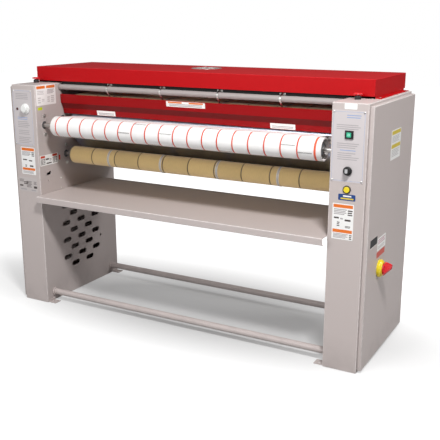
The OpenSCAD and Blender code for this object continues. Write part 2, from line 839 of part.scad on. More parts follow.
feed_x0 = -half_bay + feed_left_end;
feed_x1 = half_bay - feed_right_end;
nose_l = bay_w - 2 * feed_right_end;
belt_roll_l = bay_w - 2 * belt_roll_end;
feed_body_r = feed_r - feed_belt_t - belt_gap;
feed_belt_n = floor((feed_x1 - feed_x0 - 2 * feed_bare) / feed_belt_pitch);
feed_belt_x0 = feed_x0 + feed_bare;
feed_belt_x1 = feed_belt_x0 + feed_belt_n * feed_belt_pitch;
feed_disc_t = 6;
feed_disc_in = 20;     // roll's end to its end disc
feed_shaft_end_x = feed_chain_x + 12;

// Feed roll: covered tube with raised ends beside the belts
module feed_roll() {
  color("white") {
    difference() {
      union() {
        bar_x(feed_c, feed_body_r, feed_x0, feed_x1, 96);
        bar_x(feed_c, feed_r, feed_x0, feed_belt_x0 - 2, 96);
        bar_x(feed_c, feed_r, feed_belt_x1 + 2, feed_x1, 96);
      }
      bar_x(feed_c, feed_body_r - 4, feed_x0 - 1, feed_x1 + 1, 96);
    }
    for (x = [feed_x0 + feed_disc_in, feed_x1 - feed_disc_in - feed_disc_t]) {
      tube_x(feed_c, feed_body_r - 3.9, feed_shaft_r - 1, x, x + feed_disc_t);
    }
    bar_x(feed_c, feed_shaft_r, -shaft_end_x, feed_shaft_end_x);
  }
}

module nose_roller() {
  color("gray") roller(nose_c, nose_r, nose_l, roller_shaft_r);
}

module feed_belts() {
  inner = [feed_r - feed_belt_t, nose_r + belt_gap];
  outer = [feed_r, nose_r + belt_gap + feed_belt_t];
  margin = (feed_belt_pitch - feed_belt_w) / 2;
  color("white") for (i = [0 : feed_belt_n - 1]) {
    x = feed_belt_x0 + i * feed_belt_pitch + margin;
    loop_band([feed_c, nose_c], outer, inner, 8, x, x + feed_belt_w);
  }
}

module front_belt_roll() {
  color("tan") roller(belt_roll_c, belt_roll_r, belt_roll_l, roller_shaft_r);
}

module nip_roller() {
  color("gray") roller(nip_c, guide_r, belt_roll_l, roller_shaft_r);
}

module upper_rear_roller() {
  color("gray") roller(upper_rear_c, guide_r, belt_roll_l, roller_shaft_r);
}

module lower_rear_roller() {
  color("gray") roller(lower_rear_c, guide_r, belt_roll_l, roller_shaft_r);
}

// The ironing belts run under the front roll, up behind, forward over the top and
// back round the cylinder. The guide tapes run on their outer face.
belt_wheels = [belt_roll_c, lower_rear_c, upper_rear_c, nip_c, cyl_c];
belt_step = 7.5;       // degrees from one point to the next on a belt's curves
tape_step = 5;
function belt_radii(out, gap) = [
  belt_roll_r + out, guide_r + out, guide_r + out, guide_r + out, -(cyl_r + gap)];

iron_belt_n = floor(belt_roll_l / iron_belt_pitch);

module ironing_belts() {
  x0 = -iron_belt_n * iron_belt_pitch / 2 + (iron_belt_pitch - iron_belt_w) / 2;
  color("burlywood") for (i = [0 : iron_belt_n - 1]) {
    x = x0 + i * iron_belt_pitch;
    loop_band(belt_wheels, belt_radii(belt_gap + iron_belt_t, press_gap),
              belt_radii(belt_gap, press_gap + iron_belt_t), belt_step, x, x + iron_belt_w);
  }
}

module guide_tapes() {
  on_belt = belt_gap + iron_belt_t + belt_gap;
  color("gainsboro") for (x = tape_xs) {
    loop_band(belt_wheels, belt_radii(on_belt + tape_t, tape_gap),
              belt_radii(on_belt, tape_gap + tape_t), tape_step, x - tape_w / 2, x + tape_w / 2);
  }
}

// ---- heated cylinder ----

disc_t = 10;
cyl_l = bay_w - 2 * cyl_end;

module heated_cylinder() {
  half = cyl_l / 2;
  color("dimgray") {
    difference() {
      bar_x(cyl_c, cyl_r, -half, half, 120);
      bar_x(cyl_c, cyl_r - cyl_wall, -half - 1, half + 1, 120);
    }
    both_sides() {
      tube_x(cyl_c, cyl_r - cyl_wall + 0.1, journal_r - journal_wall, half - 30, half - 30 + disc_t);
      tube_x(cyl_c, journal_r, journal_r - journal_wall, half - 30, journal_end_x);
    }
  }
}

spine_end_x = journal_end_x + 24;
spacer_count = 5;

// Stationary heater: rods held by spacer discs on a spine tube
module heater_rods() {
  reach = cyl_l / 2 - 60;
  color("dimgray") {
    tube_x(cyl_c, spine_r, spine_r - 3, -spine_end_x, spine_end_x);
    for (i = [0 : spacer_count - 1]) {
      x = -reach + 20 + i * (2 * reach - 40) / (spacer_count - 1);
      tube_x(cyl_c, rod_ring_r + rod_r + 4, spine_r - 1, x - 2, x + 2);
    }
    for (i = [0 : rod_count - 1]) {
      bar_x(around(cyl_c, rod_ring_r, 360 * i / rod_count), rod_r, -reach, reach, 24);
    }
  }
}

post_r = 8;
post_out = 142;        // cylinder axis to a post of the heater bracket
strap_t = 6;

// Bridge over the journal end, on two posts from the inner wall
module heater_brackets() {
  x0 = journal_end_x + 6;
  color("gray") both_sides() {
    for (s = [-1, 1]) bar_x(cyl_c + [s * post_out, 0], post_r, wall_x, x0);
    difference() {
      block([x0, cyl_c[0] - post_out - 14, cyl_c[1] - 20],
            [x0 + strap_t, cyl_c[0] + post_out + 14, cyl_c[1] + 20]);
      bar_x(cyl_c, spine_r + bolt_gap, x0 - 1, x0 + strap_t + 1);
    }
  }
}

// Two-bolt flange bearing on the cabinet side of the inner wall
module flange_bearing(c, shaft_r, line) {
  half = bolt_reach * line + flange_end_r * [line[1], line[0]];
  difference() {
    union() {
      block([wall_x, c[0] - half[0], c[1] - half[1]],
            [wall_x + flange_t, c[0] + half[0], c[1] + half[1]]);
      for (s = [-1, 1]) bar_x(c + s * bolt_reach * line, flange_end_r, wall_x, wall_x + flange_t);
      bar_x(c, boss_r, wall_x, wall_x + boss_l);
    }
    bar_x(c, shaft_r + run_gap, wall_x - 1, wall_x + boss_l + 1);
    for (s = [-1, 1]) {
      bar_x(c + s * bolt_reach * line, bolt_r + bolt_gap, wall_x - 1, wall_x + flange_t + 1);
    }
  }
}

module roll_bearings() {
  color("darkslategray") both_sides() {
    for (i = [0 : len(roller_axes) - 1]) {
      flange_bearing(roller_axes[i], roller_shafts[i], bolt_lines[i]);
    }
  }
}

module cylinder_bearings() {
  w = cyl_flange_w / 2;
  color("darkslategray") both_sides() difference() {
    union() {
      block([wall_x, cyl_c[0] - w, cyl_c[1] - w],
            [wall_x + cyl_flange_t, cyl_c[0] + w, cyl_c[1] + w]);
      bar_x(cyl_c, cyl_boss_r, wall_x, wall_x + cyl_boss_l);
    }
    bar_x(cyl_c, journal_r + run_gap, wall_x - 1, wall_x + cyl_boss_l + 1);
    for (sy = [-1, 1], sz = [-1, 1]) {
      bar_x(cyl_c + cyl_bolt_reach * [sy, sz], bolt_r + bolt_gap,
            wall_x - 1, wall_x + cyl_flange_t + 1);
    }
  }
}

// Bolt with its head in the bay and its nut behind the flange
module wall_bolt(c, grip) {
  bar_x(c, 8.5, half_bay - bolt_head_h, half_bay, 6);
  bar_x(c, bolt_r, half_bay - 1, wall_x + grip + 9, 24);
  bar_x(c, 8.5, wall_x + grip, wall_x + grip + 7, 6);
}

module bearing_bolts() {
  color("lightgray") both_sides() {
    for (c = bolt_points) wall_bolt(c, flange_t);
    for (sy = [-1, 1], sz = [-1, 1]) {
      wall_bolt(cyl_c + cyl_bolt_reach * [sy, sz], cyl_flange_t);
    }
  }
}

// ---- drive, in the right cabinet ----

bracket_t = 6;
reducer_w = 70;        // along X
reducer_x0 = wall_x + bracket_t;
reducer_half_y = 44;
reducer_half_z = 54;
output_r = 10;
motor_x = reducer_x0 + reducer_w / 2 + 2;

module gear_reducer() {
  x1 = reducer_x0 + reducer_w;
  color("slategray") difference() {
    union() {
      block([reducer_x0, reducer_c[0] - reducer_half_y, reducer_c[1] - reducer_half_z],
            [x1, reducer_c[0] + reducer_half_y, reducer_c[1] + reducer_half_z]);
      bar_x(reducer_c, 26, x1 - 1, x1 + 3);
    }
    bar_x(reducer_c, output_r + run_gap, x1 - 40, x1 + 4);
  }
}

module drive_motor() {
  z1 = reducer_c[1] - reducer_half_z;
  color("slategray") translate([motor_x, reducer_c[0], z1 - motor_l]) {
    cylinder(r = motor_r - 3, h = motor_l);
    translate([0, 0, 34]) cylinder(r = motor_r, h = motor_l - 60);
    translate([0, 0, motor_l - 8]) cylinder(r = motor_r, h = 8);
    for (i = [0 : 5]) translate([0, 0, 42 + i * 14]) cylinder(r = motor_r + 1, h = 5);
    translate([-20, motor_r - 8, 60]) cube([40, 34, 60]);
  }
}

module motor_bracket() {
  color("gray") block([wall_x, reducer_c[0] - 60, reducer_c[1] - 74],
                      [wall_x + bracket_t, reducer_c[0] + 60, reducer_c[1] + 74]);
}

// Sprocket disc centred at x, with plain trapezoid teeth
module sprocket(c, n, x) {
  pr = pitch_r(n);
  root = pr - 5;
  plate_x(x - sprocket_t / 2, x + sprocket_t / 2) translate(c) polygon([
    for (i = [0 : n - 1], k = [[root, -0.34], [pr + tooth_h - 1, -0.1],
                               [pr + tooth_h - 1, 0.1], [root, 0.34]])
      around([0, 0], k[0], (i + k[1]) * 360 / n)]);
}

module drive_sprocket() {
  color("gray") {
    sprocket(reducer_c, small_teeth, drive_chain_x);
    bar_x(reducer_c, 18, drive_chain_x - 6, drive_chain_x + 10);
    bar_x(reducer_c, output_r, reducer_x0 + reducer_w - 38, drive_chain_x + 14);
  }
}

module cylinder_sprocket() {
  color("gray") difference() {
    union() {
      sprocket(cyl_c, large_teeth, feed_chain_x);
      sprocket(cyl_c, large_teeth, drive_chain_x);
      bar_x(cyl_c, journal_r + 12, feed_chain_x - 8, drive_chain_x + 8);
    }
    bar_x(cyl_c, journal_r + key_gap, feed_chain_x - 10, drive_chain_x + 10);
  }
}

module feed_sprocket() {
  color("gray") difference() {
    union() {
      sprocket(feed_c, small_teeth, feed_chain_x);
      bar_x(feed_c, 22, feed_chain_x - 8, feed_chain_x + 8);
    }
    bar_x(feed_c, feed_shaft_r + key_gap, feed_chain_x - 10, feed_chain_x + 10);
  }
}

// Chain: two plate loops beside the sprockets, and rollers on the straight runs
module chain(cs, rs, x) {
  outer = [for (r = rs) r + link_h];
  inner = [for (r = rs) r - link_h];
  plate_in = sprocket_t / 2 + link_gap;
  for (s = [-1, 1]) {
    x0 = x + s * (plate_in + link_t / 2) - link_t / 2;
    loop_band(cs, outer, inner, 10, x0, x0 + link_t);
  }
  angles = run_angles(cs, rs);
  for (i = [0 : 1]) {
    a = cs[i] - rs[i] * [cos(angles[i]), sin(angles[i])];
    b = cs[1 - i] - rs[1 - i] * [cos(angles[i]), sin(angles[i])];
    run = norm(b - a);
    count = floor((run - 100) / chain_pitch);
    for (k = [0 : count]) {
      t = 0.5 + (k - count / 2) * chain_pitch / run;
      bar_x(a + (b - a) * t, roller_pin_r, x - plate_in - link_t, x + plate_in + link_t, 16);
    }
  }
}

module drive_chain() {
  color("dimgray") chain([reducer_c, cyl_c], [small_pr, large_pr], drive_chain_x);
}

module feed_chain() {
  color("dimgray") chain([feed_c, cyl_c], [small_pr, large_pr], feed_chain_x);
}

// ---- controls ----

overlay_in = 4;        // overlay edge to the panel's side
left_overlay_w = 131;
left_overlay_h = 289;
right_overlay_w = 142;
overlay_gap = 14;      // right overlay above the jog button's ring
bezel_rim = 4;         // width of the jog button's ring
overlay_y = front_y - overlay_t;
left_overlay_x = -out_x + overlay_in;
left_overlay_z1 = cab_h - 24;
right_overlay_x = half_bay + overlay_in;
right_overlay_z1 = cab_h - 30;
right_overlay_h = right_overlay_z1 - (jog_c[1] + jog_r + bezel_rim + overlay_gap);

module left_control_panel() {
  color("whitesmoke") difference() {
    block([left_overlay_x, overlay_y, left_overlay_z1 - left_overlay_h],
          [left_overlay_x + left_overlay_w, front_y, left_overlay_z1]);
    mirror([1, 0, 0]) {
      bar_y(thermostat_c, bush_r + slide_gap, overlay_y - 1, front_y + 1);
      bar_y(lamp_c, lamp_r + slide_gap, overlay_y - 1, front_y + 1);
    }
  }
}

module right_control_panel() {
  color("whitesmoke") difference() {
    block([right_overlay_x, overlay_y, right_overlay_z1 - right_overlay_h],
          [right_overlay_x + right_overlay_w, front_y, right_overlay_z1]);
    bar_y(start_c, switch_hole_r, overlay_y - 1, front_y + 1);
    bar_y(speed_c, bush_r + slide_gap, overlay_y - 1, front_y + 1);
  }
}

spindle_r = 3;
spindle_l = 16;
knob_gap = 0.4;

// Turning knob on its spindle, with a raised finger grip
module knob(c, r, h) {
  y1 = overlay_y - knob_gap;
  bar_y(c, r, y1 - 7, y1);
  bar_y(c, r * 0.78, y1 - h, y1 - 6);
  bar_y(c, spindle_r, y1 - 1, y1 + spindle_l, 32);
}

module thermostat_knob() {
  color("white") mirror([1, 0, 0]) knob(thermostat_c, thermostat_r, 20);
}

module speed_knob() {
  color("black") knob(speed_c, speed_r, 21);
}

module pilot_lamp() {
  color("darkred") mirror([1, 0, 0]) {
    bar_y(lamp_c, lamp_r, overlay_y - 4, front_y + 24);
    bar_y(lamp_c, lamp_r + 2, overlay_y - 2, overlay_y);
    bar_y(lamp_c, lamp_r + 3, front_y + sheet_t, front_y + 8);
  }
}

bezel_t = 5;
stem_r = 4;
cap_proud = 3;         // button above its bezel
block_y = front_y + 14;

module start_button() {
  y0 = overlay_y - bezel_t - cap_proud;
  color("green") {
    block([start_c[0] - start_w / 2, y0, start_c[1] - start_w / 2],
          [start_c[0] + start_w / 2, overlay_y - press_travel - 0.4, start_c[1] + start_w / 2]);
    bar_y(start_c, stem_r, y0 + 1, block_y - press_travel - 0.4, 32);
  }
}

module jog_button() {
  y0 = front_y - bezel_t - cap_proud;
  color("yellow") {
    bar_y(jog_c, jog_r, y0, front_y - press_travel - 0.4);
    bar_y(jog_c, stem_r, y0 + 1, block_y - press_travel - 0.4, 32);
  }
}

// Square bezel of the start button and ring of the jog button
module button_bezels() {
  w = start_w / 2;
  color("black") {
    difference() {
      block([start_c[0] - w - 5, overlay_y - bezel_t, start_c[1] - w - 4],
            [start_c[0] + w + 5, overlay_y, start_c[1] + w + 4]);
      block([start_c[0] - w - slide_gap, overlay_y - bezel_t - 1, start_c[1] - w - slide_gap],
            [start_c[0] + w + slide_gap, overlay_y + 1, start_c[1] + w + slide_gap]);
    }
    difference() {
      bar_y(jog_c, jog_r + bezel_rim, front_y - bezel_t, front_y);
      bar_y(jog_c, jog_r + slide_gap, front_y - bezel_t - 1, front_y + 1);
    }
  }
}

// Body behind a knob, with its bush through the panel
module knob_body(c, w) {
  difference() {
    union() {
      block([c[0] - w / 2, front_y + sheet_t, c[1] - w / 2],
            [c[0] + w / 2, front_y + sheet_t + 30, c[1] + w / 2]);
      bar_y(c, bush_r, overlay_y, front_y + sheet_t + 1);
    }
    bar_y(c, spindle_r + run_gap, overlay_y - 1, front_y + 24, 32);
  }
}

// Contact block behind a button, on a sleeve from the panel
module contact_block(c) {
  difference() {
    union() {
      block([c[0] - 16, block_y, c[1] - 20], [c[0] + 16, block_y + 40, c[1] + 20]);
      bar_y(c, switch_hole_r - 0.2, front_y, block_y + 1);
      bar_y(c, 15, front_y + sheet_t, front_y + sheet_t + 4);
    }
    bar_y(c, stem_r + slide_gap, front_y - 1, block_y, 32);
  }
}

module switch_bodies() {
  color("dimgray") {
    mirror([1, 0, 0]) knob_body(thermostat_c, 40);
    knob_body(speed_c, 30);
    contact_block(start_c);
    contact_block(jog_c);
  }
}

stop_base_r = 14;
stop_base_h = 16;
stop_head_h = 8;

module stop_button(c) {
  z0 = cab_h + stop_base_h + stop_travel + 0.5;
  translate([c[0], c[1], 0]) {
    translate([0, 0, z0]) cylinder(r = stop_r, h = stop_head_h * 0.55);
    translate([0, 0, z0 + stop_head_h * 0.5]) cylinder(r = stop_r * 0.86, h = stop_head_h * 0.5);
    translate([0, 0, cab_h + 2]) cylinder(r = stop_neck_r - run_gap, h = z0 - cab_h);
  }
}

module left_stop_button() {
  color("red") stop_button(left_stop_c);
}

module right_stop_button() {
  color("red") stop_button(right_stop_c);
}

module stop_bases() {
  color("black") for (c = [left_stop_c, right_stop_c]) translate([c[0], c[1], 0]) {
    difference() {
      union() {
        translate([0, 0, cab_h]) cylinder(r = stop_base_r, h = stop_base_h);
        translate([0, 0, cab_h - 40]) cylinder(r = stop_neck_r + 3.5, h = 41);
      }
      translate([0, 0, cab_h - stop_travel]) cylinder(r = stop_neck_r, h = 60);
    }
  }
}

isolator_t = 21;
isolator_body_d = 44;
isolator_spindle_r = 5;
handle_w = 18;
handle_tilt = 30;      // lean of the blade's top to the rear

// Main isolator: round plate outside the door, neck through it, switch body behind
module main_isolator() {
  color("gold") difference() {
    union() {
      bar_x(isolator_c, isolator_r, door_x1, door_x1 + isolator_t * 0.6, 72);
      bar_x(isolator_c, isolator_r * 0.86, door_x1 + isolator_t * 0.5, door_x1 + isolator_t, 72);
      bar_x(isolator_c, isolator_neck_r, door_x1 - sheet_t - 2, door_x1 + 1);
      block([door_x1 - sheet_t - isolator_body_d, isolator_c[0] - 28, isolator_c[1] - 32],
            [door_x1 - sheet_t, isolator_c[0] + 28, isolator_c[1] + 32]);
    }
    bar_x(isolator_c, isolator_spindle_r + run_gap, door_x1 - 6, door_x1 + isolator_t + 1, 32);
  }
}

module isolator_handle() {
  x0 = door_x1 + isolator_t + 0.4;
  color("red") {
    bar_x(isolator_c, 24, x0, x0 + 8);
    translate([0, isolator_c[0], isolator_c[1]]) rotate([-handle_tilt, 0, 0])
      translate([0, handle_w / 2, 0]) rotate([90, 0, 0]) linear_extrude(handle_w)
        polygon([[x0 + 4, -31], [x0 + 36, 6], [x0 + 36, 24], [x0 + 4, 32]]);
    bar_x(isolator_c, isolator_spindle_r, door_x1 - 4, x0 + 1, 32);
  }
}

// ---- screws ----

screw_r = 4;
screw_h = 2.5;
screw_in = 7;          // overlay's edge to a screw
flange_screw_out = 8;  // hood's end to a screw
flange_screw_r = 6;
flange_screw_ys = [hood_end_y0 + 36, hood_end_y1 - 13];
wall_screws = [[fy(165), 672], [fy(161), 618]];

// Pan head standing on z = 0
module screw(r = screw_r) {
  cylinder(r = r, h = screw_h, $fn = 24);
}

module panel_screws(x0, z1, w, h) {
  for (x = [x0 + screw_in, x0 + w - screw_in], z = [z1 - screw_in, z1 - h + screw_in]) {
    translate([x, overlay_y, z]) rotate([90, 0, 0]) screw();
  }
}

module cover_screws() {
  color("white") {
    for (x = [hood_x0 - flange_screw_out, hood_x1 + flange_screw_out], y = flange_screw_ys) {
      translate([x, y, cab_h + sheet_t]) screw(flange_screw_r);
    }
    panel_screws(left_overlay_x, left_overlay_z1, left_overlay_w, left_overlay_h);
    panel_screws(right_overlay_x, right_overlay_z1, right_overlay_w, right_overlay_h);
    both_sides() for (c = wall_screws) {
      translate([half_bay, c[0], c[1]]) rotate([0, -90, 0]) screw();
    }
  }
}

// ---- electrical pieces ----

elec_y0 = fy(180);
elec_y1 = fy(480);
elec_z0 = 528;
elec_z1 = 668;
elec_stand = 10;       // plate before the inner wall

module electrical_plate() {
  x = -(wall_x + elec_stand);
  color("lightsteelblue") {
    block([x - 3, elec_y0, elec_z0], [x, elec_y1, elec_z1]);
    for (y = [elec_y0 + 12, elec_y1 - 12], z = [elec_z0 + 12, elec_z1 - 12]) {
      bar_x([y, z], 6, x, -wall_x, 24);
    }
  }
}

module contactors() {
  x = -(wall_x + elec_stand + 3);
  color("dimgray") for (i = [0 : 3]) {
    y = elec_y0 + 24 + i * 64;
    block([x - 70, y, elec_z0 + 34], [x, y + 46, elec_z0 + 104]);
    block([x - 84, y + 8, elec_z0 + 50], [x - 69, y + 38, elec_z0 + 88]);
  }
}

// Limit switch beside the guard's right-hand pin
module guard_switch() {
  y0 = guard_pin_c[0] - guard_pin_r - 26;
  color("dimgray") {
    block([wall_x, y0, guard_pin_c[1] - 24], [wall_x + 26, y0 + 22, guard_pin_c[1] + 24]);
    block([wall_x + 4, y0 + 21, guard_pin_c[1] - 2],
          [wall_x + 10, guard_pin_c[0] - guard_pin_r - 0.3, guard_pin_c[1] + 2]);
  }
}

module cable_gland() {
  color("black") difference() {
    union() {
      bar_y(gland_c, gland_r, back_y - 14, back_y + 1);
      bar_y(gland_c, gland_r + 5, back_y, back_y + 8, 6);
      bar_y(gland_c, gland_r, back_y + 7, back_y + 22);
      bar_y(gland_c, gland_r + 5, back_y - 12, back_y - sheet_t, 6);
    }
    bar_y(gland_c, gland_r - 4, back_y - 15, back_y + 23);
  }
}

left_cabinet();
right_cabinet();
left_door();
right_door();
door_hinges();
left_latch();
right_latch();
hood();
exhaust_collar();
finger_guard();
guard_pins();
crossbar();
tape_bar();
tape_guides();
delivery_tray();
tie_tubes();
anchor_brackets();
rear_cover();
cover_screws();
feed_roll();
nose_roller();
feed_belts();
front_belt_roll();
nip_roller();
upper_rear_roller();
lower_rear_roller();
ironing_belts();
guide_tapes();
heated_cylinder();
heater_rods();
heater_brackets();
roll_bearings();
cylinder_bearings();
bearing_bolts();
gear_reducer();
drive_motor();
motor_bracket();
drive_sprocket();
cylinder_sprocket();
feed_sprocket();
drive_chain();
feed_chain();
left_control_panel();
right_control_panel();
thermostat_knob();
pilot_lamp();
start_button();
speed_knob();
jog_button();
button_bezels();
switch_bodies();
left_stop_button();
right_stop_button();
stop_bases();
main_isolator();
isolator_handle();
electrical_plate();
contactors();
guard_switch();
cable_gland();
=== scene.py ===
import json
import math
import bmesh
import bpy
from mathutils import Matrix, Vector

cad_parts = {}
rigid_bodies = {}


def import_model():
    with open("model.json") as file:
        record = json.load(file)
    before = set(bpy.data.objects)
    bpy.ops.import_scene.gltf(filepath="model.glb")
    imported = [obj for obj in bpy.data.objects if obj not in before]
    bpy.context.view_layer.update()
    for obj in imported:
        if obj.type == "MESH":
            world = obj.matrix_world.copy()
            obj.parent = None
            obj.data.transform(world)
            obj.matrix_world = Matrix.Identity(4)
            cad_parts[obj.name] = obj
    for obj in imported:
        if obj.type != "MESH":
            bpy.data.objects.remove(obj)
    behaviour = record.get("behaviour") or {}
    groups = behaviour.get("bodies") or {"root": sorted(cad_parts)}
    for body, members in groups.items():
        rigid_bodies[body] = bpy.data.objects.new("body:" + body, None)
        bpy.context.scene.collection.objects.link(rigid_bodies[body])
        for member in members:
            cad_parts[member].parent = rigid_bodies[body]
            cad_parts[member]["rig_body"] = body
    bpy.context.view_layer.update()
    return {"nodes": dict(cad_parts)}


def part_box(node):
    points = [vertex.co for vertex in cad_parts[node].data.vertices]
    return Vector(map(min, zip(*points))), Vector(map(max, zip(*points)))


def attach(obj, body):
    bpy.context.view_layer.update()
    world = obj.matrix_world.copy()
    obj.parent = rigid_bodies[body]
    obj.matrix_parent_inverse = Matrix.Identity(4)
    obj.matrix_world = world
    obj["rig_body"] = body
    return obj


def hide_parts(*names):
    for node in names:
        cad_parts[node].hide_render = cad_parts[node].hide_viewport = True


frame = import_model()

nodes = frame["nodes"]
mm = 0.001
xAxis, yAxis, zAxis = Vector((1, 0, 0)), Vector((0, 1, 0)), Vector((0, 0, 1))
scene = bpy.context.scene


def bodyOf(node):
    return nodes[node]["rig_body"]


def centreOf(node):
    low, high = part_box(node)
    return (low + high) / 2


def put(tree, kind, sockets=None, **settings):
    node = tree.nodes.new(kind)
    for name, value in settings.items():
        setattr(node, name, value)
    for key, value in (sockets or {}).items():
        if isinstance(value, bpy.types.NodeSocket):
            tree.links.new(value, node.inputs[key])
        else:
            node.inputs[key].default_value = value
    return node


def flow(tree, kind, sockets=None, **settings):  # a node, given as its first output
    return put(tree, kind, sockets, **settings).outputs[0]


def objectPoint(tree):
    return put(tree, "ShaderNodeTexCoord").outputs["Object"]


def grain(tree, scale, detail=3, stretch=(1, 1, 1), source=None):
    placed = flow(tree, "ShaderNodeMapping",
                  {"Vector": source or objectPoint(tree), "Scale": stretch})
    return flow(tree, "ShaderNodeTexNoise", {"Vector": placed, "Scale": scale, "Detail": detail})


def spread(tree, value, low, high, fromLow=0.0, fromHigh=1.0):
    return flow(tree, "ShaderNodeMapRange", {"Value": value, "From Min": fromLow,
                                             "From Max": fromHigh, "To Min": low, "To Max": high})


def maths(tree, operation, first, second=0.0):
    return flow(tree, "ShaderNodeMath", {0: first, 1: second}, operation=operation)


def vectorOf(tree, **parts):
    return flow(tree, "ShaderNodeCombineXYZ", parts)


def partsOf(tree, vector):
    return put(tree, "ShaderNodeSeparateXYZ", {0: vector}).outputs


def tone(colour):  # screen colour 0..255 to the linear colour that nodes take; a socket stays
    def linear(value):
        value /= 255
        return value / 12.92 if value <= 0.04045 else ((value + 0.055) / 1.055) ** 2.4

    if isinstance(colour, bpy.types.NodeSocket):
        return colour
    return (*(linear(value) for value in colour), 1)


def blended(tree, factor, first, second):
    return put(tree, "ShaderNodeMix", {0: factor, 6: tone(first), 7: tone(second)},
               data_type="RGBA").outputs[2]


def shaded(tree, colour, *patterns):  # made lighter and darker by each (pattern, low, high)
    for pattern in patterns:
        if not isinstance(colour, bpy.types.NodeSocket):
            colour = tone(colour)[:3]
        colour = flow(tree, "ShaderNodeVectorMath", {0: colour, "Scale": spread(tree, *pattern)},
                      operation="SCALE")
    return colour


def bumped(tree, heights):  # heights: (value, strength, distance) from coarse to fine
    normal = None
    for value, strength, distance in heights:
        sockets = {"Height": value, "Strength": strength, "Distance": distance}
        if normal:
            sockets["Normal"] = normal
        normal = flow(tree, "ShaderNodeBump", sockets)
    return normal


def newFinish(name, paint, **constants):  # paint gives the colour, the roughness and the heights
    material = bpy.data.materials.new(name)
    material.use_nodes = True
    tree = material.node_tree
    shader = tree.nodes["Principled BSDF"]
    for key, value in constants.items():
        shader.inputs[key.replace("_", " ")].default_value = value
    colour, rough, heights = paint(tree)
    for key, value in (("Base Color", colour), ("Roughness", rough),
                       ("Normal", bumped(tree, heights))):
        tree.links.new(value, shader.inputs[key])
    return material


floorDirt = {"colour": (96, 90, 86), "reach": 0.16}  # soiling of the painted feet, and how high


def paintedSheet(name, colour, wornAndHighlitEdge, rough, peel, dirt=0.0, gloss=0.5):
    def paint(tree):
        cloudy, fine, flecks = grain(tree, 2.5, 4), grain(tree, 60, 3), grain(tree, 900, 1)
        base = shaded(tree, colour, (cloudy, 0.985, 1.015), (fine, 0.994, 1.006))
        # lighter colour on the rounded edges: part worn paint, part painted highlight
        rubbedAndHighlit = put(tree, "ShaderNodeAttribute", attribute_name="wearAndHighlight").outputs["Fac"]
        rubbedAndHighlit = maths(tree, "MULTIPLY", rubbedAndHighlit, spread(tree, fine, 0.25, 0.75, 0.35, 0.65))
        base = blended(tree, rubbedAndHighlit, base, wornAndHighlitEdge)
        if dirt:
            height = partsOf(tree, objectPoint(tree))[2]
            low = spread(tree, height, dirt, 0, 0, floorDirt["reach"])
            patchy = spread(tree, grain(tree, 14, 5), 0.2, 1, 0.4, 0.7)
            base = blended(tree, maths(tree, "MULTIPLY", low, patchy), base, floorDirt["colour"])
        return (base, spread(tree, fine, rough - 0.04, rough + 0.05),
                [(grain(tree, 420, 2), peel, 0.00012), (flecks, peel * 0.5, 0.00005)])

    return newFinish(name, paint, IOR=1.43, Specular_IOR_Level=gloss)


def bareMetal(name, colour, rough, stretch, streak=0.1):
    def paint(tree):
        lines, cloudy = grain(tree, 6, 5, stretch), grain(tree, 9, 4)
        polish = maths(tree, "ADD", spread(tree, lines, rough - 0.06, rough + 0.06),
                       spread(tree, cloudy, -0.05, 0.08))
        return (shaded(tree, colour, (lines, 1 - streak, 1 + streak), (cloudy, 0.93, 1.05)),
                polish, [(lines, 0.12, 0.00008)])

    return newFinish(name, paint, Metallic=1.0)


def zincCoat(name, colour, rough):
    def paint(tree):
        flakes = put(tree, "ShaderNodeTexVoronoi", {"Vector": objectPoint(tree), "Scale": 110})
        value = flow(tree, "ShaderNodeSeparateColor", {0: flakes.outputs["Color"]})
        return (shaded(tree, colour, (value, 0.86, 1.08), (grain(tree, 7, 4), 0.9, 1.06)),
                spread(tree, value, rough - 0.08, rough + 0.1),
                [(grain(tree, 260, 3), 0.15, 0.0001)])

    return newFinish(name, paint, Metallic=0.75)


def mouldedPlastic(name, colour, rough, texture=0.1, coat=0.0):
    def paint(tree):
        cloudy = grain(tree, 35, 3)
        return (shaded(tree, colour, (cloudy, 0.95, 1.04)),
                spread(tree, cloudy, rough - 0.05, rough + 0.06),
                [(grain(tree, 1400, 2), texture, 0.00006)])

    return newFinish(name, paint, IOR=1.48, Coat_Weight=coat)


def printedFilm(name, colour, rough=0.32):
    def paint(tree):
        cloudy = grain(tree, 20, 2)
        return (shaded(tree, colour, (cloudy, 0.97, 1.02)),
                spread(tree, cloudy, rough - 0.05, rough + 0.07),
                [(grain(tree, 700, 2), 0.06, 0.00004)])

    return newFinish(name, paint, Coat_Weight=0.15, Coat_Roughness=0.2)


def castIron(name, colour, rough):
    def paint(tree):
        coarse, fine = grain(tree, 55, 4), grain(tree, 380, 3)
        return (shaded(tree, colour, (coarse, 0.85, 1.1)),
                spread(tree, fine, rough - 0.08, rough + 0.1),
                [(coarse, 0.2, 0.0006), (fine, 0.35, 0.00025)])

    return newFinish(name, paint)


def clothAt(tree):  # where a point lies on a belt, and its parts across and along
    place = put(tree, "ShaderNodeAttribute", attribute_name="weave").outputs["Vector"]
    across, along = partsOf(tree, place)[:2]
    return place, across, along


def wave(tree, value, pitch):
    return maths(tree, "SINE", maths(tree, "MULTIPLY", value, 2 * math.pi / pitch))


def wovenBelt(name, colour, edgeColour, belt):
    def paint(tree):
        place, across, along = clothAt(tree)
        soiled = grain(tree, 30, 4, (1, 0.35, 1), place)
        ribs = [spread(tree, wave(tree, value, pitch), 0, 1, -1, 1)
                for value, pitch in ((across, belt["yarn"]), (along, belt["yarn"] * 1.3))]
        weave = maths(tree, "MULTIPLY", ribs[0], ribs[1])
        base = shaded(tree, colour, (soiled, 0.955, 1.02), (weave, 0.975, 1.01))
        atEdge = maths(tree, "LESS_THAN", across, belt["edge"] - belt["width"] / 2)
        return (blended(tree, atEdge, base, edgeColour), spread(tree, soiled, 0.72, 0.86),
                [(soiled, 0.2, 0.0012), (weave, 0.5, 0.0002)])

    return newFinish(name, paint, Sheen_Weight=0.15, Sheen_Roughness=0.5)


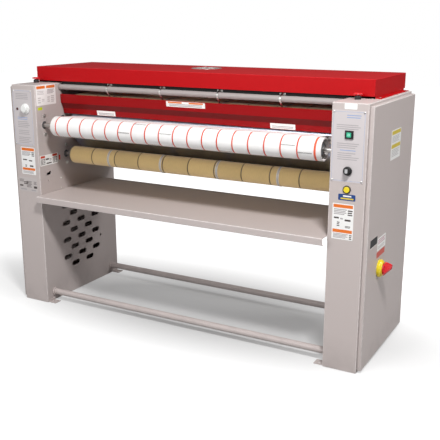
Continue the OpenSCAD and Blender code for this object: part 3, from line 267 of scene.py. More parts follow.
def needleFelt(name, colour, dark, belt):
    def paint(tree):
        place, across, along = clothAt(tree)
        cloudy = grain(tree, 9, 5, (1, 0.5, 1), place)
        fibres = grain(tree, 260, 4, (1, 0.22, 1), place)
        fuzz = grain(tree, 900, 2, (1, 1, 1), place)
        ownShade = grain(tree, 0.7, 0, (0, 0, 1), place)  # by the belt's number
        base = shaded(tree, colour, (cloudy, 0.9, 1.09), (fibres, 0.9, 1.1),
                      (ownShade, 0.93, 1.07, 0.3, 0.7))
        # darker over the last 3 mm to each edge: painted shade in the gaps between belts
        outwards = maths(tree, "ABSOLUTE", across)
        shadedNearEdge = spread(tree, outwards, 0, 0.7, belt["width"] / 2 - 3 * mm, belt["width"] / 2)
        return (blended(tree, shadedNearEdge, base, dark), spread(tree, fibres, 0.85, 0.98),
                [(fibres, 0.6, 0.0006), (fuzz, 0.5, 0.0003)])

    return newFinish(name, paint, Sheen_Weight=0.35, Sheen_Roughness=0.6)


def silverTape(name, colour, edgeColour, belt):
    def paint(tree):
        place, across, along = clothAt(tree)
        twill = wave(tree, maths(tree, "ADD", across, along), belt["yarn"])
        cloudy = grain(tree, 40, 3, (1, 0.3, 1), place)
        base = shaded(tree, colour, (twill, 0.9, 1.08, -1, 1), (cloudy, 0.88, 1.08))
        outwards = maths(tree, "ABSOLUTE", across)
        atEdge = maths(tree, "GREATER_THAN", outwards, belt["width"] / 2 - belt["edge"])
        return (blended(tree, atEdge, base, edgeColour), spread(tree, cloudy, 0.4, 0.6),
                [(twill, 0.4, 0.0002)])

    return newFinish(name, paint, Metallic=0.25)


# step: degrees between the points of an arc; hold: how far from the edges the section has
# points that keep the rounding narrow
feedBelt = {"width": 76 * mm, "thickness": 1.7 * mm, "pitch": 78.3 * mm, "count": 18,
            "firstX": -689.3 * mm, "edge": 6.5 * mm, "yarn": 1.6 * mm, "roundness": 0.7 * mm,
            "hold": 2.2 * mm, "step": 5}
ironBelt = {"width": 145 * mm, "thickness": 3 * mm, "pitch": 148 * mm, "count": 10,
            "firstX": -740 * mm, "roundness": 1.2 * mm, "hold": 2.2 * mm, "step": 4.5}
guideTape = {"width": 12 * mm, "thickness": 1 * mm, "pitch": 323 * mm, "count": 4,
             "firstX": -646 * mm, "edge": 2 * mm, "yarn": 1.1 * mm, "roundness": 0.4 * mm,
             "hold": 2.4 * mm, "step": 4.5}

allWays, drawn = (40, 40, 40), (120, 3, 3)  # how the streaks of bare metal run
finishes = {  # how each is made, then its colours on a screen and its other values
    "greyPaint": (paintedSheet, (196, 185, 182), (228, 221, 219), 0.42, 0.06, 0.2),
    "redPaint": (paintedSheet, (182, 2, 11), (200, 36, 44), 0.42, 0.05, 0, 0.3),
    # the guard's two reds are darker than the hood's red: painted shade from the hood, darker still
    # on the middle face
    "guardPaint": (paintedSheet, (149, 1, 8), (172, 36, 42), 0.42, 0.05, 0, 0.3),
    "guardDeep": (paintedSheet, (106, 6, 8), (150, 34, 40), 0.42, 0.05, 0, 0.3),
    # a darker grey for the crossbar: painted shade from the hood above it
    "tubePaint": (paintedSheet, (164, 155, 153), (206, 199, 197), 0.42, 0.06),
    "blackPaint": (paintedSheet, (38, 36, 36), (90, 88, 86), 0.42, 0.3),
    "motorPaint": (paintedSheet, (96, 112, 126), (140, 152, 162), 0.35, 0.4),
    "zinc": (zincCoat, (205, 198, 194), 0.38),
    "screwZinc": (bareMetal, (222, 220, 216), 0.3, allWays, 0.04),
    "hookSteel": (bareMetal, (172, 170, 168), 0.5, allWays, 0.04),
    "turnedSteel": (bareMetal, (200, 197, 194), 0.33, drawn, 0.06),
    "cylinderSteel": (bareMetal, (188, 194, 211), 0.36, drawn, 0.06),
    "darkSteel": (bareMetal, (118, 116, 114), 0.42, (90, 4, 4), 0.12),
    "castGrey": (castIron, (104, 108, 112), 0.55),
    "blackPlastic": (mouldedPlastic, (34, 33, 34), 0.42, 0.25),
    "darkPlastic": (mouldedPlastic, (66, 66, 70), 0.5, 0.3),
    "whitePlastic": (mouldedPlastic, (238, 238, 236), 0.28),
    "greyPlastic": (mouldedPlastic, (186, 186, 188), 0.35),
    "greenLens": (mouldedPlastic, (58, 182, 142), 0.2, 0.05, 0.4),
    "greenPale": (mouldedPlastic, (140, 220, 192), 0.25, 0.05),
    "yellowPlastic": (mouldedPlastic, (238, 214, 40), 0.28, 0.06, 0.3),
    "redPlastic": (mouldedPlastic, (214, 36, 44), 0.26, 0.06, 0.4),
    "lampLens": (mouldedPlastic, (92, 16, 24), 0.15, 0.03, 0.6),
    "rollCover": (mouldedPlastic, (238, 234, 232), 0.62, 0.5),
    "rollStripe": (mouldedPlastic, (226, 92, 58), 0.55, 0.3),
    "feedBeltWeave": (wovenBelt, (248, 246, 245), (218, 76, 50), feedBelt),
    # the second colour is painted shade at the belts' edges
    "tanFelt": (needleFelt, (220, 190, 129), (84, 62, 40), ironBelt),
    "tapeWeave": (silverTape, (196, 192, 188), (226, 224, 222), guideTape),
}
inks = {  # plain printed films
    "overlayFilm": (206, 199, 200), "labelWhite": (244, 243, 241), "labelOrange": (232, 118, 40),
    "labelYellow": (222, 198, 62), "labelRed": (206, 66, 44), "labelPink": (206, 168, 176),
    "labelLime": (204, 220, 48), "labelBlue": (28, 66, 128), "labelGrey": (132, 124, 123),
    "labelSilver": (198, 190, 188), "inkDark": (74, 64, 62), "inkPale": (204, 201, 200),
    "inkBlue": (142, 164, 206), "inkGrey": (172, 166, 168),
}
finish = {name: make(name, *values) for name, (make, *values) in finishes.items()}
finish.update({name: printedFilm(name, colour) for name, colour in inks.items()})
print("finishes", len(finish))


def newPiece(name, mesh, body, replaced=()):
    piece = bpy.data.objects.new(name, mesh)
    scene.collection.objects.link(piece)
    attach(piece, body)
    if replaced:
        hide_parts(*replaced)
    return piece


def meshFrom(name, bm):
    mesh = bpy.data.meshes.new(name)
    bm.to_mesh(mesh)
    bm.free()
    return mesh


def smoothed(mesh, angle):
    mesh.shade_smooth()
    mesh.set_sharp_from_angle(angle=math.radians(angle))
    return mesh


def addPiece(name, bm, finishNames, body, replaced=(), smooth=38):
    mesh = meshFrom(name, bm)
    for finishName in [finishNames] if isinstance(finishNames, str) else finishNames:
        mesh.materials.append(finish[finishName])
    piece = newPiece(name, smoothed(mesh, smooth), body, replaced)
    piece.modifiers.new("FlatFaces", "WEIGHTED_NORMAL").keep_sharp = True


def addNodePiece(name, bm, finishNames, node, smooth=38):  # stands for the whole CAD node
    addPiece(name, bm, finishNames, bodyOf(node), (node,), smooth)


def joinedCopy(node):  # the CAD node's loose triangles, merged
    bm = bmesh.new()
    bm.from_mesh(nodes[node].data)
    bmesh.ops.remove_doubles(bm, verts=bm.verts[:], dist=2e-6)
    bmesh.ops.dissolve_limit(bm, angle_limit=math.radians(0.5), verts=bm.verts[:],
                             edges=bm.edges[:], use_dissolve_boundaries=False)
    return bm


def acrossFace(face, edge):  # width of the face where the edge's middle is
    loop = next(item for item in face.loops if item.edge == edge)
    along = (loop.link_loop_next.vert.co - loop.vert.co).normalized()
    inward = face.normal.cross(along)
    middle = (edge.verts[0].co + edge.verts[1].co) / 2
    widths = []
    for other in face.edges:
        a, b = (vert.co - middle for vert in other.verts)
        a0, b0 = along.dot(a), along.dot(b)
        if other == edge or a0 * b0 > 0 or abs(a0 - b0) < 1e-9:
            continue
        reach = inward.dot(a) + (inward.dot(b) - inward.dot(a)) * a0 / (a0 - b0)
        if reach > 1e-6:
            widths.append(reach)
    return min(widths, default=0)


# edges shorter than shortest, flatter than angle, or on a face too narrow for them stay sharp;
# the rounded faces get a lighter colour that the painted finishes show as part wear, part painted
# highlight
def easeEdges(bm, width, segments, shortest, angle=38):
    wearAndHighlight = bm.faces.layers.float.get("wearAndHighlight") or bm.faces.layers.float.new("wearAndHighlight")
    picked = [edge for edge in bm.edges
              if len(edge.link_faces) == 2 and edge.is_convex and edge.calc_length() >= shortest
              and edge.calc_face_angle(0) >= math.radians(angle)
              and min(acrossFace(face, edge) for face in edge.link_faces) > 2.3 * width]
    if picked:
        made = bmesh.ops.bevel(bm, geom=picked, offset=width, offset_type="OFFSET",
                               segments=segments, profile=0.5, affect="EDGES",
                               clamp_overlap=False)
        for face in made["faces"]:
            face[wearAndHighlight] = 1.0


def easedPiece(node, finishNames, bend=0.0, cut=0.0, smooth=38, partOf=None):
    bm = joinedCopy(node)
    if bend:
        easeEdges(bm, bend, 4, 50 * mm)
    if cut:
        easeEdges(bm, cut, 2, 3 * mm, 45)
    if partOf:
        for face in bm.faces:
            face.material_index = partOf(face)
    addNodePiece(node + "Dressed", bm, finishNames, node, smooth)


def nodeIslands(node):  # lowest and highest corner of each connected part of a CAD node
    bm = joinedCopy(node)
    bm.verts.index_update()
    seen, boxes = set(), []
    for start in bm.verts:
        if start.index in seen:
            continue
        seen.add(start.index)
        stack, group = [start], []
        while stack:
            vert = stack.pop()
            group.append(vert.co.copy())
            for edge in vert.link_edges:
                other = edge.other_vert(vert)
                if other.index not in seen:
                    seen.add(other.index)
                    stack.append(other)
        boxes.append([Vector([pick(point[i] for point in group) for i in range(3)])
                      for pick in (min, max)])
    bm.free()
    return boxes


def softened(points, radius, steps=3, closed=False):  # rounds the corners of an outline
    count, result = len(points), []
    for i, point in enumerate(points):
        if not closed and i in (0, count - 1):
            result.append(point)
            continue
        here = Vector(point)
        before, after = Vector(points[i - 1]) - here, Vector(points[(i + 1) % count]) - here
        reach = min(radius, before.length * 0.45, after.length * 0.45)
        start, end = here + before.normalized() * reach, here + after.normalized() * reach
        for k in range(steps + 1):
            t = k / steps
            result.append(tuple(start * (1 - t) ** 2 + here * 2 * t * (1 - t) + end * t * t))
    return result


def sideways(axis):
    first = zAxis if abs(axis.z) < 0.9 else xAxis
    first = (first - axis * axis.dot(first)).normalized()
    return first, axis.cross(first)


# outline: (distance along the axis, radius); a radius of 0 closes the end
def turn(bm, outline, centre, axis, steps=64, closed=False, part=0):
    u, v = sideways(axis)
    angles = [2 * math.pi * i / steps for i in range(steps)]
    rings = []
    for distance, radius in outline:
        middle = centre + axis * distance
        if radius < 1e-6:
            rings.append([bm.verts.new(middle)])
        else:
            rings.append([bm.verts.new(middle + (u * math.cos(a) + v * math.sin(a)) * radius)
                          for a in angles])
    for first, second in zip(rings, rings[1:] + (rings[:1] if closed else [])):
        for i in range(steps):
            k = (i + 1) % steps
            if len(first) == 1 and len(second) == 1:
                continue
            if len(first) == 1:
                corners = [first[0], second[i], second[k]]
            elif len(second) == 1:
                corners = [first[i], second[0], first[k]]
            else:
                corners = [first[i], second[i], second[k], first[k]]
            bm.faces.new(corners).material_index = part


def facesOut(bm):
    bmesh.ops.recalc_face_normals(bm, faces=bm.faces[:])
    return bm


def turned(layers, centre, axis, steps):  # layers: (outline, closed, finish index)
    bm = bmesh.new()
    for outline, closed, part in layers:
        turn(bm, outline, centre, axis, steps, closed, part)
    return facesOut(bm)


def turnedPiece(name, layers, centre, axis, finishNames, node, steps=64):
    addNodePiece(name, turned(layers, centre, axis, steps), finishNames, node)


def rod(start, end, thick):  # outline of a plain round bar, for turn
    return [(start, 0), (start, thick), (end, thick), (end, 0)]


def tube(start, end, outer, inner):  # closed outline of a plain round tube
    return [(start, inner), (start, outer), (end, outer), (end, inner)]


def skinned(bm, rings, part=0):  # a solid through rings with equally many points
    loops = [[bm.verts.new(point) for point in ring] for ring in rings]
    made = [bm.faces.new(loops[-1]), bm.faces.new(loops[0][::-1])]
    for low, high in zip(loops, loops[1:]):
        for i in range(len(low)):
            k = (i + 1) % len(low)
            made.append(bm.faces.new([low[i], low[k], high[k], high[i]]))
    for face in made:
        face.material_index = part


# a thin plate with rounded corners, standing on the surface at origin;
# facing: the directions to its right, upwards and outwards
def sheetPlate(bm, width, height, thick, corner, origin, facing, part=0):
    right, up, out = facing
    corners = [(x * width / 2, y * height / 2) for x, y in ((-1, -1), (1, -1), (1, 1), (-1, 1))]
    outline = softened(corners, corner, 4, True)
    rings = []
    for inset, rise in ((0, 0), (0, thick * 0.6), (thick * 0.4, thick)):
        ring = []
        for x, y in outline:
            x -= math.copysign(min(inset, abs(x)), x)
            y -= math.copysign(min(inset, abs(y)), y)
            ring.append(origin + right * x + up * y + out * rise)
        rings.append(ring)
    skinned(bm, rings, part)


def block(bm, low, size, part=0):
    for vert in bmesh.ops.create_cube(bm, size=1)["verts"]:
        vert.co = Vector([low[i] + (vert.co[i] + 0.5) * size[i] for i in range(3)])
        for face in vert.link_faces:
            face.material_index = part


flat = (xAxis, yAxis, zAxis)  # a plate that lies on its back
upright = (xAxis, zAxis, -yAxis)  # a plate that looks to the front


def newTree(name, inputs):
    tree = bpy.data.node_groups.new(name, "GeometryNodeTree")
    tree.interface.new_socket(name="Geometry", in_out="OUTPUT", socket_type="NodeSocketGeometry")
    for inputName, kind in {"Geometry": "Geometry", **inputs}.items():
        tree.interface.new_socket(name=inputName, in_out="INPUT", socket_type="NodeSocket" + kind)
    return tree, tree.nodes.new("NodeGroupInput").outputs


def endTree(tree, geometry, material):
    solid = flow(tree, "GeometryNodeRealizeInstances", {"Geometry": geometry})
    painted = flow(tree, "GeometryNodeSetMaterial", {"Geometry": solid, "Material": material})
    tree.links.new(painted, tree.nodes.new("NodeGroupOutput").inputs[0])
    return tree


def named(tree, attribute, kind="FLOAT_VECTOR"):
    return flow(tree, "GeometryNodeInputNamedAttribute", {"Name": attribute}, data_type=kind)


def stored(tree, geometry, attribute, value, kind, domain):
    return flow(tree, "GeometryNodeStoreNamedAttribute",
                {"Geometry": geometry, "Name": attribute, "Value": value},
                data_type=kind, domain=domain)


def bakedTree(name, source, tree, values, smooth=38):
    modifier = source.modifiers.new("Builder", "NODES")
    modifier.node_group = tree
    for item in tree.interface.items_tree:
        if item.item_type == "SOCKET" and item.in_out == "INPUT" and item.name in values:
            modifier[item.identifier] = values[item.name]
    bpy.context.view_layer.update()
    seen = source.evaluated_get(bpy.context.evaluated_depsgraph_get())
    mesh = bpy.data.meshes.new_from_object(seen)
    mesh.name = name
    source.modifiers.remove(modifier)
    bpy.data.objects.remove(source)
    return smoothed(mesh, smooth)


def wireSource(name, points, edges=()):  # loose points or a path that a tree starts from
    mesh = bpy.data.meshes.new(name)
    mesh.from_pydata([tuple(point) for point in points], edges, [])
    source = bpy.data.objects.new(name, mesh)
    scene.collection.objects.link(source)
    return source


def pointSource(name, places):  # places: (position, aim, side)
    source = wireSource(name, [place[0] for place in places])
    for label, k in (("aim", 1), ("side", 2)):
        layer = source.data.attributes.new(label, "FLOAT_VECTOR", "POINT")
        layer.data.foreach_set("vector", [c for place in places for c in place[k]])
    return source


def buildPlaceTree():  # one piece at every point, aimed and turned
    tree, given = newTree("placedPieces", {"Piece": "Object", "Size": "Float", "Spin": "Float",
                                           "Seed": "Int", "Finish": "Material"})
    piece = put(tree, "GeometryNodeObjectInfo", {"Object": given["Piece"]},
                transform_space="ORIGINAL").outputs["Geometry"]
    aimed = flow(tree, "FunctionNodeAlignRotationToVector", {"Vector": named(tree, "aim")},
                 axis="Z")
    faced = flow(tree, "FunctionNodeAlignRotationToVector",
                 {"Rotation": aimed, "Vector": named(tree, "side")}, axis="X", pivot_axis="Z")
    spin = put(tree, "FunctionNodeRandomValue",
               {2: 0.0, 3: given["Spin"], "Seed": given["Seed"]}).outputs[1]
    about = flow(tree, "FunctionNodeAxisAngleToRotation", {"Axis": (0, 0, 1), "Angle": spin})
    placed = flow(tree, "FunctionNodeRotateRotation", {"Rotation": faced, "Rotate By": about},
                  rotation_space="LOCAL")
    rows = flow(tree, "GeometryNodeInstanceOnPoints",
                {"Points": given["Geometry"], "Instance": piece, "Rotation": placed,
                 "Scale": given["Size"]})
    return endTree(tree, rows, given["Finish"])


def buildBeltTree():  # a row of equal belts that follow one closed path
    tree, given = newTree("beltRow", {"Section": "Object", "Count": "Int", "First": "Float",
                                      "Pitch": "Float", "Finish": "Material"})
    path = flow(tree, "GeometryNodeMeshToCurve", {"Mesh": given["Geometry"]})
    path = flow(tree, "GeometryNodeSetCurveNormal", {"Curve": path, "Normal": (1, 0, 0)},
                mode="FREE")
    length = put(tree, "GeometryNodeSplineParameter").outputs["Length"]
    path = stored(tree, path, "along", length, "FLOAT", "POINT")
    section = put(tree, "GeometryNodeObjectInfo", {"Object": given["Section"]})
    outline = flow(tree, "GeometryNodeMeshToCurve", {"Mesh": section.outputs["Geometry"]})
    belt = flow(tree, "GeometryNodeCurveToMesh", {"Curve": path, "Profile Curve": outline})
    across = partsOf(tree, flow(tree, "GeometryNodeInputPosition"))[0]
    place = vectorOf(tree, X=across, Y=named(tree, "along", "FLOAT"))
    belt = stored(tree, belt, "weave", place, "FLOAT_VECTOR", "CORNER")
    belt = flow(tree, "GeometryNodeMergeByDistance", {"Geometry": belt, "Distance": 2e-6})
    line = flow(tree, "GeometryNodeMeshLine",
                {"Count": given["Count"], "Start Location": vectorOf(tree, X=given["First"]),
                 "Offset": vectorOf(tree, X=given["Pitch"])})
    rows = flow(tree, "GeometryNodeInstanceOnPoints", {"Points": line, "Instance": belt})
    number = flow(tree, "GeometryNodeInputIndex")
    rows = stored(tree, rows, "beltNumber", number, "FLOAT", "INSTANCE")
    whole = flow(tree, "GeometryNodeRealizeInstances", {"Geometry": rows})
    woven = partsOf(tree, named(tree, "weave"))
    full = vectorOf(tree, X=woven[0], Y=woven[1], Z=named(tree, "beltNumber", "FLOAT"))
    whole = stored(tree, whole, "weave", full, "FLOAT_VECTOR", "CORNER")
    return endTree(tree, whole, given["Finish"])


def buildBarTree():  # rows of plain bars of uneven length, as a stand-in for printed lines
    tree, given = newTree("printedBars", {"Rows": "Int", "Row pitch": "Float",
                                          "Longest": "Float", "Shortest": "Float",
                                          "Bar height": "Float", "Raise": "Float",
                                          "Seed": "Int", "Finish": "Material"})
    drop = maths(tree, "MULTIPLY", given["Row pitch"], -1.0)
    line = flow(tree, "GeometryNodeMeshLine",
                {"Count": given["Rows"], "Offset": vectorOf(tree, Z=drop)})
    size = vectorOf(tree, X=1.0, Y=given["Raise"], Z=given["Bar height"])
    bar = flow(tree, "GeometryNodeMeshCube", {"Size": size})
    bar = flow(tree, "GeometryNodeTransform", {"Geometry": bar, "Translation": (0.5, 0, 0)})
    length = put(tree, "FunctionNodeRandomValue", {2: given["Shortest"], 3: given["Longest"],
                                                   "Seed": given["Seed"]}).outputs[1]
    rows = flow(tree, "GeometryNodeInstanceOnPoints",
                {"Points": line, "Instance": bar, "Scale": vectorOf(tree, X=length, Y=1.0, Z=1.0)})
    return endTree(tree, rows, given["Finish"])


placeTree, beltTree, barTree = buildPlaceTree(), buildBeltTree(), buildBarTree()


def spareObject(name, bm):  # a shape that a tree takes, not shown itself
    return bpy.data.objects.new(name, meshFrom(name, bm))


def placeAll(name, shape, places, finishName, body, replaced=(), spin=0.0, seed=1):
    mesh = bakedTree(name, pointSource(name + "Points", places), placeTree,
                     {"Piece": shape, "Size": 1.0, "Spin": spin, "Seed": seed,
                      "Finish": finish[finishName]})
    newPiece(name, mesh, body, replaced)


def runAngle(a, b, ra, rb):
    direction = math.degrees(math.atan2(b[1] - a[1], b[0] - a[0]))
    distance = math.hypot(b[0] - a[0], b[1] - a[1])
    return direction + math.degrees(math.acos((rb - ra) / distance))


# round the wheels in turn, on the other side of one with a negative radius;
# starts and ends in the middle of a straight run
def loopPath(wheels, radii, step):
    count = len(wheels)
    angles = [runAngle(wheels[i], wheels[(i + 1) % count], radii[i], radii[(i + 1) % count])
              for i in range(count)]
    points = []
    for i, (y, z) in enumerate(wheels):
        first, last, size = angles[i - 1], angles[i], radii[i]
        sweep = (last - first) % 360 if size > 0 else -((first - last) % 360)
        parts = max(1, math.ceil(abs(sweep) / step))
        for k in range(parts + 1):
            a = math.radians(first + sweep * k / parts)
            points.append((y - size * math.cos(a), z - size * math.sin(a)))
    middle = tuple((points[0][k] + points[-1][k]) / 2 for k in range(2))
    return [middle] + points + [middle]


def beltSection(name, belt):
    half, tall = belt["width"] / 2, belt["thickness"] / 2
    corners = softened([(-half, -tall), (half, -tall), (half, tall), (-half, tall)],
                       belt["roundness"], 2, True)
    near = half - belt["hold"]
    right = [corner for corner in corners if corner[0] > 0] + [(near, tall), (-near, tall)]
    outline = right + [(-x, -y) for x, y in right]
    count = len(outline)
    mesh = bpy.data.meshes.new(name)
    mesh.from_pydata([(x, y, 0) for x, y in outline],
                     [(i, (i + 1) % count) for i in range(count)], [])
    return bpy.data.objects.new(name, mesh)


def beltRow(name, belt, wheels, radii, finishName, node):
    path = [(0, y, z) for y, z in loopPath(wheels, radii, belt["step"])]
    source = wireSource(name + "Path", path, [(i, i + 1) for i in range(len(path) - 1)])
    baked = bakedTree(name, source, beltTree,
                      {"Section": beltSection(name + "Section", belt), "Count": belt["count"],
                       "First": belt["firstX"] + belt["pitch"] / 2, "Pitch": belt["pitch"],
                       "Finish": finish[finishName]}, 50)
    bm = bmesh.new()
    bm.from_mesh(baked)
    facesOut(bm).to_mesh(baked)
    bm.free()
    newPiece(name, baked, bodyOf(node), (node,))


def wheelOf(node):
    centre = centreOf(node)
    return (centre.y, centre.z)


feedAxis = wheelOf("feed_roll")
radius = {"feed": 51 * mm, "nose": 18 * mm, "front": 42 * mm, "guide": 25 * mm,
          "cylinder": 150 * mm}
gap = {"belt": 0.3 * mm, "press": 2 * mm, "tape": 0.4 * mm}

halfFeed = feedBelt["thickness"] / 2
beltRow("feedBelts", feedBelt, [feedAxis, wheelOf("nose_roller")],
        [radius["feed"] - halfFeed, radius["nose"] + gap["belt"] + halfFeed],
        "feedBeltWeave", "feed_belts")

wheels = [wheelOf(node) for node in ("front_belt_roll", "lower_rear_roller", "upper_rear_roller",
                                     "nip_roller", "heated_cylinder")]


def wheelRadii(outside, inside):  # the belts run on the outside of the cylinder
    return ([radius["front"] + outside] + [radius["guide"] + outside] * 3
            + [-(radius["cylinder"] + inside)])


halfIron, halfTape = ironBelt["thickness"] / 2, guideTape["thickness"] / 2
beltRow("ironingBelts", ironBelt, wheels,
        wheelRadii(gap["belt"] + halfIron, gap["press"] + halfIron), "tanFelt", "ironing_belts")
beltRow("guideTapes", guideTape, wheels,
        wheelRadii(2 * gap["belt"] + ironBelt["thickness"] + halfTape, gap["tape"] + halfTape),
        "tapeWeave", "guide_tapes")

# lacing that joins the ends of each feed belt
lacing = {"hooks": 16, "hookWidth": 2.3 * mm, "hookThick": 0.6 * mm, "pinRadius": 0.7 * mm,
          "reach": 3.2 * mm, "margin": 4.5 * mm, "sink": 0.1 * mm}
seamAngles = (  # where each belt's seam is on the feed roll, in degrees
    250, 240, 262, 252, 268, 175, 115, 240, 162, 256, 62, 97, 236, 300, 255, 320, 163, 195)


def lacingShape():
    bm = bmesh.new()
    width = feedBelt["width"] - 2 * lacing["margin"]
    turn(bm, rod(0, width, lacing["pinRadius"]), Vector((-width / 2, 0, 0)), xAxis, 8)
    for i in range(lacing["hooks"]):
        x = -width / 2 + (i + 0.5) * width / lacing["hooks"]
        sheetPlate(bm, lacing["hookWidth"], 2 * lacing["reach"], lacing["hookThick"], 0.5 * mm,
                   Vector((x, 0, 0)), flat)
    return spareObject("lacingShape", facesOut(bm))


seamPlaces = []
for number, angle in enumerate(seamAngles):
    a = math.radians(angle)
    out = Vector((0, math.cos(a), math.sin(a)))
    centre = Vector((feedBelt["firstX"] + (number + 0.5) * feedBelt["pitch"], *feedAxis))
    seamPlaces.append((centre + out * (radius["feed"] - lacing["sink"]), out, xAxis))
placeAll("beltLacing", lacingShape(), seamPlaces, "hookSteel", "frame")
print("belts")


def roundedTube(start, end, outer, inner, ease=1.2 * mm):
    return softened(tube(start, end, outer, inner), ease, 3, True)


def roundedRod(start, end, thick):
    return softened(rod(start, end, thick), 1.5 * mm, 2)


def axisPoint(node):
    return Vector((0, *wheelOf(node)))


# each Sink is how far a disc or hub goes into the cover or the shaft that holds it
feedRoll = {"left": -719 * mm, "right": 754 * mm, "shaft": 12.5 * mm, "step": 2 * mm,
            "wall": 4 * mm, "discIn": 23 * mm, "halfDisc": 3 * mm, "hub": 24 * mm,
            "hubIn": 6 * mm, "stripe": 12 * mm, "coverSink": 0.2 * mm, "discSink": 0.5 * mm,
            "hubSink": 0.3 * mm}


def feedRollPiece():  # a cover that is narrower under the belts, on two discs with hubs
    low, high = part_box("feed_roll")
    centre, shaft, step = axisPoint("feed_roll"), feedRoll["shaft"], feedRoll["step"]
    left, right, wide = feedRoll["left"], feedRoll["right"], radius["feed"]
    narrow = wide - feedBelt["thickness"] - gap["belt"]
    inside = narrow - feedRoll["wall"]
    beltStart = feedBelt["firstX"]
    beltEnd = beltStart + feedBelt["count"] * feedBelt["pitch"]
    stripeEnd = beltEnd + feedRoll["stripe"]
    cover = [(left, inside), (left, wide), (beltStart - step, wide), (beltStart - step, narrow),
             (beltEnd + step, narrow), (beltEnd + step, wide), (stripeEnd, wide),
             (right, wide), (right, inside)]
    layers = [(softened(cover, 0.9 * mm, 3, True), True, 0),
              (roundedRod(low.x, high.x, shaft), False, 1)]
    for end, side in ((left, -1), (right, 1)):
        disc = end - side * feedRoll["discIn"]
        layers.append((roundedTube(disc - feedRoll["halfDisc"], disc + feedRoll["halfDisc"],
                                   inside + feedRoll["coverSink"], shaft - feedRoll["discSink"],
                                   0.8 * mm), True, 2))
        x0, x1 = sorted((disc, end - side * feedRoll["hubIn"]))
        layers.append((roundedTube(x0, x1, feedRoll["hub"], shaft - feedRoll["hubSink"],
                                   1.5 * mm), True, 2))
    bm = turned(layers, centre, xAxis, 96)
    for face in bm.faces:
        middle = face.calc_center_median()
        outwards = (middle - centre).yz.length
        if beltEnd < middle.x < stripeEnd and outwards > narrow + 0.5 * mm:
            face.material_index = 3
    addNodePiece("feedRoll", bm, ["rollCover", "turnedSteel", "castGrey", "rollStripe"],
                 "feed_roll")


plainRoll = {"wall": 4 * mm, "shaft": 10 * mm, "discOut": 8 * mm, "discIn": 14 * mm,
             "coverSink": 0.2 * mm, "discSink": 0.3 * mm}


def plainRoller(name, node, outer, half, finishName):
    low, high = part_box(node)
    shaft, inner = plainRoll["shaft"], outer - plainRoll["wall"]
    layers = [(roundedTube(-half, half, outer, inner), True, 0),
              (roundedRod(low.x, high.x, shaft), False, 1)]
    for side in (-1, 1):
        x0, x1 = sorted(side * (half - plainRoll[key]) for key in ("discIn", "discOut"))
        layers.append((roundedTube(x0, x1, inner + plainRoll["coverSink"],
                                   shaft - plainRoll["discSink"], 0.8 * mm), True, 1))
    turnedPiece(name, layers, axisPoint(node), xAxis, [finishName, "turnedSteel"], node, 72)


rollers = {  # node, radius, half of its length in mm, and finish of its cover
    "noseRoller": ("nose_roller", "nose", 754, "turnedSteel"),
    "frontBeltRoll": ("front_belt_roll", "front", 752, "darkSteel"),
    "nipRoller": ("nip_roller", "guide", 752, "turnedSteel"),
    "upperRearRoller": ("upper_rear_roller", "guide", 752, "turnedSteel"),
    "lowerRearRoller": ("lower_rear_roller", "guide", 752, "turnedSteel"),
}
feedRollPiece()
for name, (node, size, half, finishName) in rollers.items():
    plainRoller(name, node, radius[size], half * mm, finishName)
easedPiece("heated_cylinder", "cylinderSteel", 0, 0.8 * mm, smooth=30)
nodes["heater_rods"].data.materials.clear()
nodes["heater_rods"].data.materials.append(finish["darkSteel"])
print("rolls")

sheetWork = {  # finish, radius of the bent corners and of the cut edges, in mm
    "left_cabinet": ("greyPaint", 3.2, 0.45), "right_cabinet": ("greyPaint", 3.2, 0.45),
    "left_door": ("greyPaint", 3.0, 0.45), "right_door": ("greyPaint", 3.0, 0.45),
    "hood": ("redPaint", 2.6, 0.45), "delivery_tray": ("greyPaint", 3.6, 0.45),
    "rear_cover": ("greyPaint", 2.4, 0.45), "exhaust_collar": ("zinc", 0, 0.5),
    "anchor_brackets": ("greyPaint", 1.2, 0.4), "electrical_plate": ("zinc", 0, 0.4),
    "motor_bracket": ("darkSteel", 1.0, 0.4), "tape_bar": ("blackPaint", 0, 0.5),
}
for node, (finishName, bend, cut) in sheetWork.items():
    easedPiece(node, finishName, bend * mm, cut * mm)


def paintedShadeFace(face):  # the middle face of the guard, which leans towards the floor; its darker red is painted shade
    return 1 if face.normal.z < -0.3 and abs(face.normal.x) < 0.5 else 0


# the guard's reds are painted shade from the hood, the darker one on its middle face
easedPiece("finger_guard", ["guardPaint", "guardDeep"], 0, 0.45 * mm, 9, paintedShadeFace)

plainWork = {  # finish and radius of the edges, in mm
    "left_latch": ("blackPlastic", 0.8), "right_latch": ("blackPlastic", 0.8),
    "door_hinges": ("turnedSteel", 0.4), "guard_pins": ("turnedSteel", 0.5),
    # the crossbar's darker grey is painted shade from the hood
    "crossbar": ("tubePaint", 0.6), "tie_tubes": ("greyPaint", 0.6),
    "heater_brackets": ("darkSteel", 0.8), "roll_bearings": ("castGrey", 1.0),
    "cylinder_bearings": ("castGrey", 1.2), "gear_reducer": ("motorPaint", 2.0),
    "drive_sprocket": ("darkSteel", 0.4), "cylinder_sprocket": ("darkSteel", 0.4),
    "feed_sprocket": ("darkSteel", 0.4), "left_control_panel": ("overlayFilm", 0.2),
    "right_control_panel": ("overlayFilm", 0.2), "button_bezels": ("blackPlastic", 1.0),
    "switch_bodies": ("darkPlastic", 0.8), "contactors": ("darkPlastic", 0.8),
    "guard_switch": ("darkPlastic", 0.8), "cable_gland": ("blackPlastic", 0.8),
}
for node, (finishName, cut) in plainWork.items():
    easedPiece(node, finishName, 0, cut * mm)
print("sheet metal")

screw = {"steps": 24, "recess": 0.55,  # rings of the head: rise and width, of 1
         "rings": ((0, 1.0), (0.35, 1.0), (0.75, 0.86), (0.95, 0.6), (1.0, 0.42), (1.0, 0.16))}


